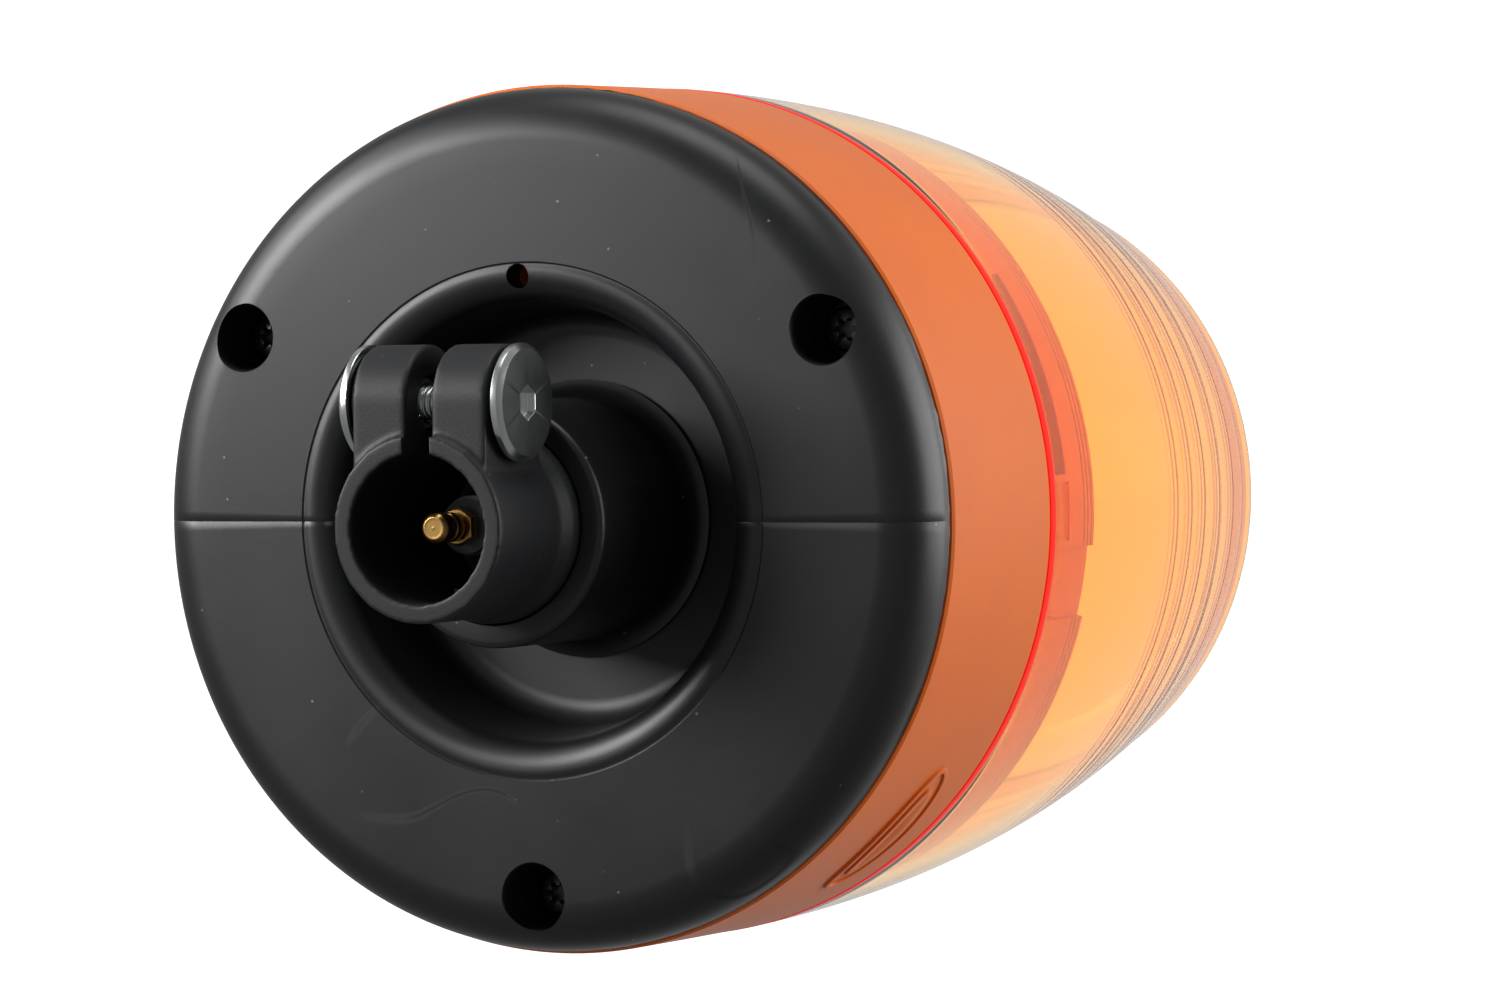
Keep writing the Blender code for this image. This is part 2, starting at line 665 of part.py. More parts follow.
def make_lens():
    """Amber dome with three lugs inside its rim."""
    rim_z = BAND_TOP_Z + GAP
    crown = 1 * MM
    heights = [LENS_SHOULDER_Z - (LENS_SHOULDER_Z - rim_z) * step / 6 for step in range(7)]
    side = [(lens_radius(height), height) for height in heights]
    shoulder_centre = (side[0][0] - LENS_SHOULDER_R, LENS_SHOULDER_Z)
    outer = arc(shoulder_centre, LENS_SHOULDER_R, 90, 18, 4)
    inner_r = LENS_SHOULDER_R - LENS_WALL
    inner = arc(shoulder_centre, inner_r, 0, 90, 4)
    top_z = LENS_SHOULDER_Z + LENS_SHOULDER_R + crown
    inner_side = [(radius - LENS_WALL, height) for radius, height in side[:0:-1]]
    outline = [(0, top_z), *outer, *side, *inner_side, *inner, (0, top_z - LENS_WALL)]
    lens = turned("lens_dome", outline, AMBER, FINE, closed=False)
    for number, degrees in enumerate(LUG_ANGLES, 1):
        start = degrees - LUG_WIDTH / 2
        radii = (COLLAR_R - COLLAR_WALL + 0.6 * MM, LENS_R - LENS_WALL + 1 * MM)
        join(lens, sector(f"lens_lug_{number}", start, LUG_WIDTH, radii, LUG_Z))


# ---------------------------------------------------------------- chassis, lamp and motor


def make_chassis():
    """Steel plate that carries the lamp, the motor and the board, on three posts of the housing."""
    top_z = CHASSIS_Z + CHASSIS_THICK
    plate = ring("chassis_plate", 6 * MM, CHASSIS_R, CHASSIS_Z, top_z, ZINC, FINE)
    for number, (x, y) in enumerate(((50, 13), (50, -13), (20, 13)), 1):
        place = {"location": (x * MM, y * MM, 0), "steps": 12}
        join(plate, rod(f"board_post_{number}", 2.2 * MM, top_z - 1 * MM, BOARD_Z - GAP, **place))
    holes = [(27, 8, 4), (27, -7, 4), (36, -14, 4)]
    holes += [(*(c / MM for c in on_circle(CHASSIS_SCREW_CIRCLE_R, d)), 2.3) for d in CHASSIS_SCREW_ANGLES]
    holes += [(0, y, 1.6) for y in (-13, 13)]
    holes += [(MOTOR_X / MM, y, 1.6) for y in (-7, 7)]
    for number, (x, y, radius) in enumerate(holes, 1):
        place = {"location": (x * MM, y * MM, 0), "steps": 12}
        cut(plate, rod(f"chassis_hole_cut_{number}", radius * MM, CHASSIS_Z - 1 * MM, BOARD_Z, **place))
    for number, degrees in enumerate(CHASSIS_SCREW_ANGLES, 1):
        x, y = on_circle(CHASSIS_SCREW_CIRCLE_R, degrees)
        small_screw(f"chassis_screw_{number}", (x, y), top_z + GAP, 1.5 * MM, 7 * MM)


def small_screw(name, place, under_head_z, radius, length, upward=False):
    """Pan-head screw. Its shank points down, or up when upward is set."""
    way = -1 if upward else 1
    head_z = under_head_z + way * 1.8 * radius
    end_z = under_head_z - way * length
    outline = [
        (0, head_z),
        (1.6 * radius, head_z),
        (1.9 * radius, under_head_z + way * 0.8 * radius),
        (1.9 * radius, under_head_z),
        (radius, under_head_z),
        (radius, end_z),
        (0, end_z),
    ]
    if upward:
        outline.reverse()
    turned(name, outline, ZINC, 12, closed=False, location=(*place, 0))


def make_lamp():
    """Hollow pedestal on the chassis, with a halogen bulb clipped on its top."""
    foot_z = CHASSIS_Z + CHASSIS_THICK + GAP
    ledge_z = GEAR_Z - 3.8 * MM
    outline = [
        (PEDESTAL_R, PEDESTAL_TOP_Z),
        (PEDESTAL_R, ledge_z),
        (10.5 * MM, ledge_z),
        (10.5 * MM, foot_z + 5 * MM),
        (9.5 * MM, foot_z + 2.7 * MM),
        (15.8 * MM, foot_z + 2.7 * MM),
        (15.8 * MM, foot_z),
        (4.5 * MM, foot_z),
        (4.5 * MM, PEDESTAL_TOP_Z),
    ]
    pedestal = turned("lamp_pedestal", outline, GREY_PLASTIC, 24)
    for number, y in enumerate((-13 * MM, 13 * MM), 1):
        place = {"location": (0, y, 0), "steps": 12}
        hole = (SMALL_SCREW_R + GAP, foot_z - 1 * MM, foot_z + 4 * MM)
        cut(pedestal, rod(f"pedestal_hole_cut_{number}", *hole, **place))
        small_screw(f"pedestal_screw_{number}", (0, y), foot_z + 2.7 * MM + GAP, SMALL_SCREW_R, 6 * MM)

    base_z = PEDESTAL_TOP_Z + GAP
    glass_z = base_z + 8 * MM
    base_outline = [
        (0, glass_z - GAP),
        (4.6 * MM, glass_z - GAP),
        (4.6 * MM, base_z + 2 * MM),
        (7 * MM, base_z + 2 * MM),
        (7 * MM, base_z),
        (3.5 * MM, base_z),
        (3.5 * MM, base_z - 6 * MM),
        (0, base_z - 6 * MM),
    ]
    turned("bulb_base", base_outline, ZINC, COARSE, closed=False)
    glass_r = 5 * MM
    glass_wall = 0.9 * MM
    crown_z = LIGHT_Z + 6 * MM
    glass_outline = [
        *arc((0, crown_z), glass_r, 90, 0, 5),
        (glass_r, glass_z),
        (glass_r - glass_wall, glass_z),
        *arc((0, crown_z), glass_r - glass_wall, 0, 90, 4),
    ]
    turned("bulb_glass", glass_outline, GLASS, COARSE, closed=False)
    support_x = 2.2 * MM
    filament = [
        (-support_x, 0, glass_z + 0.2 * MM),
        (-support_x, 0, LIGHT_Z),
        (-support_x / 2, 0.8 * MM, LIGHT_Z + 0.3 * MM),
        (0, -0.8 * MM, LIGHT_Z),
        (support_x / 2, 0.8 * MM, LIGHT_Z + 0.3 * MM),
        (support_x, 0, LIGHT_Z),
        (support_x, 0, glass_z + 0.2 * MM),
    ]
    wire("bulb_filament", filament, 0.3 * MM, DARK_STEEL)
    clip_z = base_z + 2.9 * MM
    clip = [(*on_circle(6 * MM, 40 + 280 * step / 10), clip_z) for step in range(11)]
    ends = [(*on_circle(8.2 * MM, degrees), clip_z) for degrees in (30, 330)]
    feet = [(x, y, base_z + 0.5 * MM) for x, y, _ in ends]
    wire("bulb_clip", [feet[0], ends[0], *clip, ends[1], feet[1]], 0.45 * MM, ZINC)


def make_motor():
    """Small motor beside the lamp; its armature, shaft and pinion turn together."""
    at = {"location": (MOTOR_X, 0, 0)}
    cap_z = CHASSIS_Z + CHASSIS_THICK + GAP
    case_z = cap_z + 3 * MM
    case_top_z = GEAR_Z - 3.5 * MM
    bush_r = 4 * MM
    shaft_r = 1.5 * MM
    cap_outline = [
        (MOTOR_R, case_z - GAP),
        (MOTOR_R, cap_z),
        (shaft_r + GAP, cap_z),
        (shaft_r + GAP, case_z - GAP),
    ]
    cap = turned("motor_end_cap", cap_outline, GREY_PLASTIC, 24, **at)
    for number, y in enumerate((-7 * MM, 7 * MM), 1):
        place = (MOTOR_X, y)
        hole = {"location": (*place, 0), "steps": 12}
        span = (cap_z - 1 * MM, cap_z + 2.2 * MM)
        cut(cap, rod(f"motor_hole_cut_{number}", SMALL_SCREW_R + GAP, *span, **hole))
        small_screw(f"motor_screw_{number}", place, CHASSIS_Z - GAP, SMALL_SCREW_R, 3.8 * MM, upward=True)
    wall = 1 * MM
    case_outline = [
        (MOTOR_R, case_top_z),
        (MOTOR_R, case_z),
        (MOTOR_R - wall, case_z),
        (MOTOR_R - wall, case_top_z - wall),
        (bush_r + GAP, case_top_z - wall),
        (bush_r + GAP, case_top_z),
    ]
    turned("motor_case", case_outline, ZINC, 24, **at)
    bush_z = (case_top_z - 2.5 * MM, case_top_z + 1.5 * MM)
    ring("motor_bush", shaft_r + GAP, bush_r, *bush_z, BRASS, COARSE, **at)
    armature_z = (case_z + 2 * MM, case_top_z - 4 * MM)
    ring("motor_armature", shaft_r + GAP, 8 * MM, *armature_z, COPPER, COARSE, **at)
    rod("motor_shaft", shaft_r, cap_z + 0.5 * MM, GEAR_Z + GEAR_THICK + 1 * MM, ZINC, **at)


def make_board():
    """Circuit board with the parts that keep the motor from disturbing a radio."""
    top_z = BOARD_Z + 1.6 * MM
    box("circuit_board", (18 * MM, -16 * MM, BOARD_Z), (53 * MM, 16 * MM, top_z), BOARD_GREEN)
    seat_z = top_z + GAP
    x, y = 44 * MM, 8 * MM
    rod("capacitor", 5 * MM, seat_z, seat_z + 11 * MM, DARK_STEEL, location=(x, -y, 0))
    choke = (2.5 * MM, 6.5 * MM, seat_z, seat_z + 5 * MM)
    ring("suppressor_choke", *choke, COPPER, COARSE, location=(x, y, 0))


# ---------------------------------------------------------------- rotor


def make_gears():
    """Gear wheel round the lamp, driven by the pinion on the motor's shaft."""
    middle_z = GEAR_Z + GEAR_THICK / 2
    screw_holes = [(0, y, SMALL_SCREW_R + GAP) for y in (-REFLECTOR_SCREW_Y, REFLECTOR_SCREW_Y)]
    gear("ring_gear", GEAR_TEETH, 0, 11.2 * MM, screw_holes, (0, 0, middle_z), WHITE_PLASTIC)
    pinion_turn = 180 / PINION_TEETH
    gear("motor_pinion", PINION_TEETH, pinion_turn, 1.8 * MM, [], (MOTOR_X, 0, middle_z), WHITE_PLASTIC)
    thrust_z = GEAR_Z - 3.5 * MM
    top_z = GEAR_Z + GEAR_THICK + 0.5 * MM
    bush_in = PEDESTAL_R + GAP
    outline = [
        (10.9 * MM, top_z),
        (10.9 * MM, GEAR_Z - GAP),
        (14 * MM, GEAR_Z - GAP),
        (14 * MM, thrust_z),
        (bush_in, thrust_z),
        (bush_in, top_z),
    ]
    turned("rotor_bush", outline, BRASS, 24)
    ring("retaining_ring", bush_in, 13 * MM, top_z + GAP, top_z + 1.3 * MM, DARK_STEEL, 24)


def make_reflector():
    """Parabolic mirror with the bulb in its focus, on a collar screwed to the gear wheel."""
    depth = REFLECTOR_FOCUS + REFLECTOR_FRONT_X
    rim_r = 2 * math.sqrt(REFLECTOR_FOCUS * depth)
    rings = 6
    inner = []
    for step in range(rings + 1):
        radius = rim_r * step / rings
        inner.append((radius, radius**2 / (4 * REFLECTOR_FOCUS)))
    outer = [(radius + REFLECTOR_WALL * 0.7, height - REFLECTOR_WALL * 0.7) for radius, height in inner[1:]]
    outline = [*inner, *reversed(outer), (0, -REFLECTOR_WALL)]
    dish = turned(
        "reflector",
        outline,
        MIRROR,
        MEDIUM,
        closed=False,
        location=(-REFLECTOR_FOCUS, 0, LIGHT_Z),
        rotation=(0, math.pi / 2, 0),
    )
    seat_z = GEAR_Z + GEAR_THICK + GAP
    collar_top_z = 113 * MM
    collar_outline = [
        (17.5 * MM, collar_top_z),
        (17.5 * MM, seat_z + 2 * MM),
        (24 * MM, seat_z + 2 * MM),
        (24 * MM, seat_z),
        (15.5 * MM, seat_z),
        (15.5 * MM, collar_top_z),
    ]
    collar = turned("reflector_collar", collar_outline, steps=24)
    strut = box("reflector_strut", (-17.4 * MM, -5 * MM, 105 * MM), (-13.6 * MM, 5 * MM, LIGHT_Z + 4 * MM))
    hollow = rod("reflector_lamp_cut", 10.5 * MM, 90 * MM, 125 * MM, steps=24)
    join(dish, collar, strut)
    cut(dish, hollow)
    for number, y in enumerate((-REFLECTOR_SCREW_Y, REFLECTOR_SCREW_Y), 1):
        place = {"location": (0, y, 0), "steps": 12}
        span = (seat_z - 1 * MM, seat_z + 3 * MM)
        cut(dish, rod(f"reflector_hole_cut_{number}", SMALL_SCREW_R + GAP, *span, **place))
        small_screw(f"reflector_screw_{number}", (0, y), seat_z + 2 * MM + GAP, SMALL_SCREW_R, 6.5 * MM)


# ---------------------------------------------------------------- leads


def in_metres(places):
    return [tuple(value * MM for value in place) for place in places]


def make_leads():
    """Insulated leads, each along its own smooth route."""
    supply = [(3.4, 0, 42.2), (3.4, 0, 48), (2, 3, 56), (4, 5, 62)]
    supply += [(13, 8, 66.2), (24, 8, 66.2), (28, 8, 69.5), (28, 8, 73.6)]
    earth = [(0, -9.6, 42.2), (0, -7, 49), (1, -5, 56), (3, -6, 62)]
    earth += [(12, -12, 66.3), (32, -14, 66.2), (37, -14, 69.5), (37, -14, 73.6)]
    lamp = [(0, 0, 109.4), (0, 0, 90), (0, 0, 76), (0.6, 0, 70)]
    lamp += [(7, -2, 66.2), (23, -7, 66.2), (28, -7, 69.5), (28, -7, 73.6)]
    motor = [(24, 10, 72.9), (22, 17, 72.4), (10, 23, 71.6)]
    motor += [(-6, 24, 71.5), (-20, 18, 71.5), (-26, 9.4, 71.6)]
    wire("supply_lead", smooth_route(in_metres(supply)), LEAD_R, RED_WIRE)
    wire("earth_lead", smooth_route(in_metres(earth)), LEAD_R, BROWN_WIRE)
    wire("lamp_lead", smooth_route(in_metres(lamp)), LEAD_R + 0.2 * MM, RED_WIRE)
    wire("motor_lead", smooth_route(in_metres(motor)), LEAD_R - 0.1 * MM, RED_WIRE)


make_clamp_socket()
make_clamp_bolt()
make_contact()
make_earth_contact()
make_neck()
make_foot()
make_foot_screws()
make_housing()
make_seal()
make_lens()
make_chassis()
make_lamp()
make_motor()
make_board()
make_gears()
make_reflector()
make_leads()

for part in PARTS.objects:
    if part.type == "MESH":
        part.data.shade_smooth()
        part.data.set_sharp_from_angle(angle=math.radians(35))
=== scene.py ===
"""Amber rotating beacon on a flexible rubber foot: its finished look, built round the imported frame."""

import json
import math
import random

import bpy
from mathutils import Matrix, Vector


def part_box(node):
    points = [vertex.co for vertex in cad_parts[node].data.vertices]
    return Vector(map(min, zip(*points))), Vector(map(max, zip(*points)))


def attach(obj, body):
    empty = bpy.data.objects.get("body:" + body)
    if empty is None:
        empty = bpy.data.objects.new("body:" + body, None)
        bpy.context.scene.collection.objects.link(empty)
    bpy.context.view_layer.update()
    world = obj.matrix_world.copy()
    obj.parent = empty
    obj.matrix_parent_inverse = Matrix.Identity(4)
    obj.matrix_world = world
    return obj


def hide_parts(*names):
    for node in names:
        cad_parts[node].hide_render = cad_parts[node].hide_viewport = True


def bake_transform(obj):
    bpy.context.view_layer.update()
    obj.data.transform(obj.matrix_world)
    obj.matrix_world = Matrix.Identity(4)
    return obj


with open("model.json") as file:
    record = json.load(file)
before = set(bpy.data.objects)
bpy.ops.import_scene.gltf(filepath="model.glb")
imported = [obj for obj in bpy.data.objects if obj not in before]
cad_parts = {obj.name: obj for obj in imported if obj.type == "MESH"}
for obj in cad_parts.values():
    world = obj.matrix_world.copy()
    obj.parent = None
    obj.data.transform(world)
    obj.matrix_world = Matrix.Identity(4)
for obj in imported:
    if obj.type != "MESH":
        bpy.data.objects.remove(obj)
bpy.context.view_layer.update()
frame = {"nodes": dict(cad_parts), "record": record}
mm = 0.001

# ---------------------------------------------------------------- camera
# A long lens looks up at the lamp's underside from below, a little to the side, with the clamp's
# ears upright. The lamp's axis leans about 26 degrees away from the line of sight.
camera = bpy.data.objects.new("camera", bpy.data.cameras.new("camera"))
bpy.context.scene.collection.objects.link(camera)
camera.data.lens = 140.6
camera.data.sensor_width = 36
camera.data.clip_end = 50
camera.matrix_world = Matrix(
    (
        (-0.9022, 0.0, -0.4313, -0.4562),
        (-0.0125, 0.9996, 0.0261, 0.0288),
        (0.4311, 0.0289, -0.9018, -0.8296),
        (0, 0, 0, 1),
    )
)
bpy.context.scene.camera = camera

# ---------------------------------------------------------------- studio
# A white sweep a long way below the lamp, and a white surround that is dim except where it is seen
# directly, through something clear, or mirrored from behind the lamp. Soft boxes light the underside
# from the left and the coloured side from the right.
bpy.context.scene.view_settings.view_transform = "Standard"
bpy.ops.object.select_all(action="DESELECT")
bpy.ops.mesh.primitive_grid_add(x_subdivisions=40, y_subdivisions=40, size=40, location=(0, 0, -2.1))
floor = bpy.context.object
floor.name = "studio_floor"
floor_paint = bpy.data.materials.new("studio_floor_paint")
floor_paint.use_nodes = True
floor_shader = floor_paint.node_tree.nodes["Principled BSDF"]
floor_shader.inputs["Base Color"].default_value = (0.82, 0.82, 0.82, 1)
floor_shader.inputs["Roughness"].default_value = 0.9
floor.data.materials.append(floor_paint)

world = bpy.data.worlds.new("white_surround")
bpy.context.scene.world = world
world.use_nodes = True
surround = world.node_tree
rays = surround.nodes.new("ShaderNodeLightPath")
direction = surround.nodes.new("ShaderNodeTexCoord")
compass = surround.nodes.new("ShaderNodeSeparateXYZ")
upward = surround.nodes.new("ShaderNodeMapRange")
upward.inputs["From Min"].default_value = 0.35
upward.inputs["From Max"].default_value = 0.9
upward.inputs["To Max"].default_value = 0.4
level = surround.nodes.new("ShaderNodeMapRange")
level.inputs["To Min"].default_value = 0.2
level.inputs["To Max"].default_value = 1.3
seen_straight, behind, glare = (surround.nodes.new("ShaderNodeMath") for _ in range(3))
seen_straight.operation = "MAXIMUM"
behind.operation = "MULTIPLY"
glare.operation = "MAXIMUM"
for source, target in (
    (rays.outputs["Is Camera Ray"], seen_straight.inputs[0]),
    (rays.outputs["Is Transmission Ray"], seen_straight.inputs[1]),
    (direction.outputs["Generated"], compass.inputs["Vector"]),
    (compass.outputs["Z"], upward.inputs["Value"]),
    (upward.outputs["Result"], behind.inputs[0]),
    (rays.outputs["Is Glossy Ray"], behind.inputs[1]),
    (seen_straight.outputs[0], glare.inputs[0]),
    (behind.outputs[0], glare.inputs[1]),
    (glare.outputs[0], level.inputs["Value"]),
    (level.outputs["Result"], surround.nodes["Background"].inputs["Strength"]),
):
    surround.links.new(source, target)
surround.nodes["Background"].inputs["Color"].default_value = (1, 1, 1, 1)


def soft_box(name, place, target, width, height, watts):
    """A large area light that faces the target and is not itself seen."""
    light = bpy.data.objects.new(name, bpy.data.lights.new(name, "AREA"))
    bpy.context.scene.collection.objects.link(light)
    light.data.shape = "RECTANGLE"
    light.data.size = width
    light.data.size_y = height
    light.data.energy = watts
    light.location = place
    light.rotation_euler = (Vector(target) - Vector(place)).to_track_quat("-Z", "Y").to_euler()
    light.visible_camera = False
    return light


lamp_middle = (0, 0, 0.1)
soft_box("key_box", (0.95, 0.55, -0.35), lamp_middle, 0.7, 0.9, 6)
soft_box("side_box", (-1.1, 0.25, 0.55), lamp_middle, 0.9, 1.2, 15)
soft_box("face_box", (0.42, 0.2, -0.33), (0.05, 0.02, 0.04), 0.22, 0.34, 3.4)
soft_box("top_box", (-0.1, 1.2, 0.0), lamp_middle, 0.9, 0.6, 6)

# ---------------------------------------------------------------- clamp socket
# Black glass-filled nylon, moulded in one: a split tube that grips the pole, and two thick ears with
# round ends for the clamp bolt. Its edges are all slightly rounded and its skin has a fine grain.


def take(piece):
    """Leaves this piece alone selected and active."""
    bpy.ops.object.select_all(action="DESELECT")
    piece.select_set(True)
    bpy.context.view_layer.objects.active = piece
    return piece


def name_it(name):
    piece = bpy.context.object
    piece.name = name
    piece.data.name = name
    return piece


def apply_modifier(piece, kind, **settings):
    """Adds a modifier with these settings and applies it."""
    take(piece)
    modifier = piece.modifiers.new(kind.lower(), kind)
    for key, value in settings.items():
        setattr(modifier, key, value)
    bpy.ops.object.modifier_apply(modifier=modifier.name)
    return piece


def round_edges(piece, width, segments=3, angle=30):
    """Rounds every edge sharper than the angle."""
    settings = {"width": width, "segments": segments, "limit_method": "ANGLE"}
    settings["angle_limit"] = math.radians(angle)
    return apply_modifier(piece, "BEVEL", use_clamp_overlap=True, **settings)


def boolean(piece, tool, operation):
    """Joins the tool to the piece, or cuts the piece with it, and throws the tool away."""
    apply_modifier(piece, "BOOLEAN", object=tool, operation=operation)
    bpy.data.objects.remove(tool)
    return piece


def place_mesh(piece):
    """Moves the object's place and turn into its mesh."""
    take(piece)
    bpy.ops.object.transform_apply(location=True, rotation=True, scale=True)
    return piece


def smooth(piece, angle=35):
    take(piece)
    bpy.ops.object.shade_smooth_by_angle(angle=math.radians(angle))
    return piece


def turn_on_lathe(name, outline, steps=96, closed=True, at=(0, 0), along_x=0):
    """Extrudes an outline of (radius, height) corners point by point and spins it round.

    The axis is Z through the place `at`. With along_x it lies along X through (y, z) = at instead,
    and heights count towards +X for 1 and towards -X for -1."""
    bpy.ops.object.select_all(action="DESELECT")
    bpy.ops.mesh.primitive_plane_add(size=mm)
    piece = name_it(name)
    bpy.ops.object.mode_set(mode="EDIT")
    bpy.ops.mesh.select_mode(type="VERT")
    bpy.ops.mesh.merge(type="CENTER")
    bpy.ops.transform.translate(value=(outline[0][0], 0, outline[0][1]))
    path = [*outline, outline[0]] if closed else outline
    for here, there in zip(path, path[1:]):
        move = (there[0] - here[0], 0, there[1] - here[1])
        bpy.ops.mesh.extrude_region_move(TRANSFORM_OT_translate={"value": move})
    bpy.ops.mesh.select_all(action="SELECT")
    bpy.ops.mesh.remove_doubles(threshold=0.002 * mm)
    bpy.ops.mesh.spin(steps=steps, angle=2 * math.pi, center=(0, 0, 0), axis=(0, 0, 1))
    bpy.ops.mesh.select_all(action="SELECT")
    bpy.ops.mesh.remove_doubles(threshold=0.002 * mm)
    bpy.ops.mesh.normals_make_consistent(inside=False)
    bpy.ops.object.mode_set(mode="OBJECT")
    if along_x:
        piece.rotation_euler = (0, along_x * math.pi / 2, 0)
        piece.location = (0, *at)
    else:
        piece.location = (*at, 0)
    return place_mesh(piece)


def arc(middle, radius, start, end, count):
    """Points (radius, height) along an arc, angles in degrees."""
    turns = [math.radians(start + (end - start) * step / (count - 1)) for step in range(count)]
    return [(middle[0] + radius * math.cos(a), middle[1] + radius * math.sin(a)) for a in turns]


def block(name, low, high):
    """A cube primitive stretched between two corners."""
    bpy.ops.object.select_all(action="DESELECT")
    middle = [(a + b) / 2 for a, b in zip(low, high)]
    bpy.ops.mesh.primitive_cube_add(size=1, location=middle)
    piece = name_it(name)
    piece.scale = [b - a for a, b in zip(low, high)]
    return place_mesh(piece)


def select_where(piece, kind, test):
    """Selects the vertices, edges or faces in edit mode whose middle passes the test."""
    bpy.ops.object.mode_set(mode="EDIT")
    bpy.ops.mesh.select_mode(type={"vertices": "VERT", "edges": "EDGE", "polygons": "FACE"}[kind])
    bpy.ops.mesh.select_all(action="DESELECT")
    bpy.ops.object.mode_set(mode="OBJECT")
    points = piece.data.vertices
    for item in getattr(piece.data, kind):
        if kind == "vertices":
            item.select = test(item.co)
        else:
            corners = [points[i].co for i in item.vertices]
            item.select = test(sum(corners, Vector()) / len(corners))
    bpy.ops.object.mode_set(mode="EDIT")


def srgb(red, green, blue):
    """A colour as it is seen on a screen, 0 to 255, made linear for a shader."""
    values = [value / 255 for value in (red, green, blue)]
    return (*(v / 12.92 if v <= 0.04045 else ((v + 0.055) / 1.055) ** 2.4 for v in values), 1)


def add_node(tree, kind, inputs=None, **settings):
    node = tree.nodes.new(kind)
    for key, value in settings.items():
        setattr(node, key, value)
    for key, value in (inputs or {}).items():
        node.inputs[key].default_value = value
    return node


def new_finish(name, **sockets):
    """A material; its Principled shader's sockets are given with _ for a space."""
    material = bpy.data.materials.new(name)
    material.use_nodes = True
    shader = material.node_tree.nodes["Principled BSDF"]
    for key, value in sockets.items():
        shader.inputs[key.replace("_", " ")].default_value = value
    return material, material.node_tree, shader


def object_coordinates(tree):
    return add_node(tree, "ShaderNodeTexCoord").outputs["Object"]


def new_group(name, inputs, outputs):
    """An empty shader node group with its sockets, and its two end nodes."""
    group = bpy.data.node_groups.new(name, "ShaderNodeTree")
    for label, kind in inputs:
        group.interface.new_socket(label, in_out="INPUT", socket_type=kind)
    for label, kind in outputs:
        group.interface.new_socket(label, in_out="OUTPUT", socket_type=kind)
    return group, add_node(group, "NodeGroupInput"), add_node(group, "NodeGroupOutput")


VECTOR, NUMBER = "NodeSocketVector", "NodeSocketFloat"

# Grain: the fine spark-eroded skin of a moulding, as a normal, and a soft mottle from 0 to 1.
grain_group, given, result = new_group(
    "moulded_grain",
    [("Vector", VECTOR), ("Scale", NUMBER), ("Depth", NUMBER)],
    [("Normal", VECTOR), ("Mottle", NUMBER)],
)
fine_noise = add_node(grain_group, "ShaderNodeTexNoise", {"Detail": 4.0, "Roughness": 0.7})
mottle_settings = {"Scale": 38.0, "Detail": 5.0, "Roughness": 0.6}
mottle_noise = add_node(grain_group, "ShaderNodeTexNoise", mottle_settings)
grain_bump = add_node(grain_group, "ShaderNodeBump", {"Strength": 1.0})
grain_group.links.new(given.outputs["Vector"], fine_noise.inputs["Vector"])
grain_group.links.new(given.outputs["Vector"], mottle_noise.inputs["Vector"])
grain_group.links.new(given.outputs["Scale"], fine_noise.inputs["Scale"])
grain_group.links.new(given.outputs["Depth"], grain_bump.inputs["Distance"])
grain_group.links.new(fine_noise.outputs["Fac"], grain_bump.inputs["Height"])
grain_group.links.new(grain_bump.outputs["Normal"], result.inputs["Normal"])
grain_group.links.new(mottle_noise.outputs["Fac"], result.inputs["Mottle"])

# Marks: long thin curved scratches and specks of dust, as two masks from 0 to 1.
marks_group, given, result = new_group(
    "scratches_and_dust",
    [("Vector", VECTOR), ("Scratch Scale", NUMBER), ("Dust Scale", NUMBER)],
    [("Scratches", NUMBER), ("Dust", NUMBER)],
)
line_settings = {"Detail": 1.0, "Roughness": 0.35, "Distortion": 0.4}
lines = add_node(marks_group, "ShaderNodeTexNoise", line_settings)
centred = add_node(marks_group, "ShaderNodeMath", {1: 0.5}, operation="SUBTRACT")
folded = add_node(marks_group, "ShaderNodeMath", operation="ABSOLUTE")
fading = {"To Min": 1.0, "To Max": 0.0}
thin = add_node(marks_group, "ShaderNodeMapRange", {"From Min": 0.0, "From Max": 0.006, **fading})
patches = add_node(marks_group, "ShaderNodeTexNoise", {"Scale": 26.0, "Detail": 2.0})
patchy = add_node(marks_group, "ShaderNodeMapRange", {"From Min": 0.54, "From Max": 0.62})
broken = add_node(marks_group, "ShaderNodeMath", operation="MULTIPLY")
specks = add_node(marks_group, "ShaderNodeTexVoronoi", feature="F1")
small = add_node(marks_group, "ShaderNodeMapRange", {"From Min": 0.03, "From Max": 0.08, **fading})
rare = add_node(marks_group, "ShaderNodeMapRange", {"From Min": 0.66, "From Max": 0.7})
dusty = add_node(marks_group, "ShaderNodeMath", operation="MULTIPLY")
for source, target in (
    (given.outputs["Vector"], lines.inputs["Vector"]),
    (given.outputs["Scratch Scale"], lines.inputs["Scale"]),
    (lines.outputs["Fac"], centred.inputs[0]),
    (centred.outputs[0], folded.inputs[0]),
    (folded.outputs[0], thin.inputs["Value"]),
    (given.outputs["Vector"], patches.inputs["Vector"]),
    (patches.outputs["Fac"], patchy.inputs["Value"]),
    (thin.outputs["Result"], broken.inputs[0]),
    (patchy.outputs["Result"], broken.inputs[1]),
    (broken.outputs[0], result.inputs["Scratches"]),
    (given.outputs["Vector"], specks.inputs["Vector"]),
    (given.outputs["Dust Scale"], specks.inputs["Scale"]),
    (specks.outputs["Distance"], small.inputs["Value"]),
    (specks.outputs["Color"], rare.inputs["Value"]),
    (small.outputs["Result"], dusty.inputs[0]),
    (rare.outputs["Result"], dusty.inputs[1]),
    (dusty.outputs[0], result.inputs["Dust"]),
):
    marks_group.links.new(source, target)


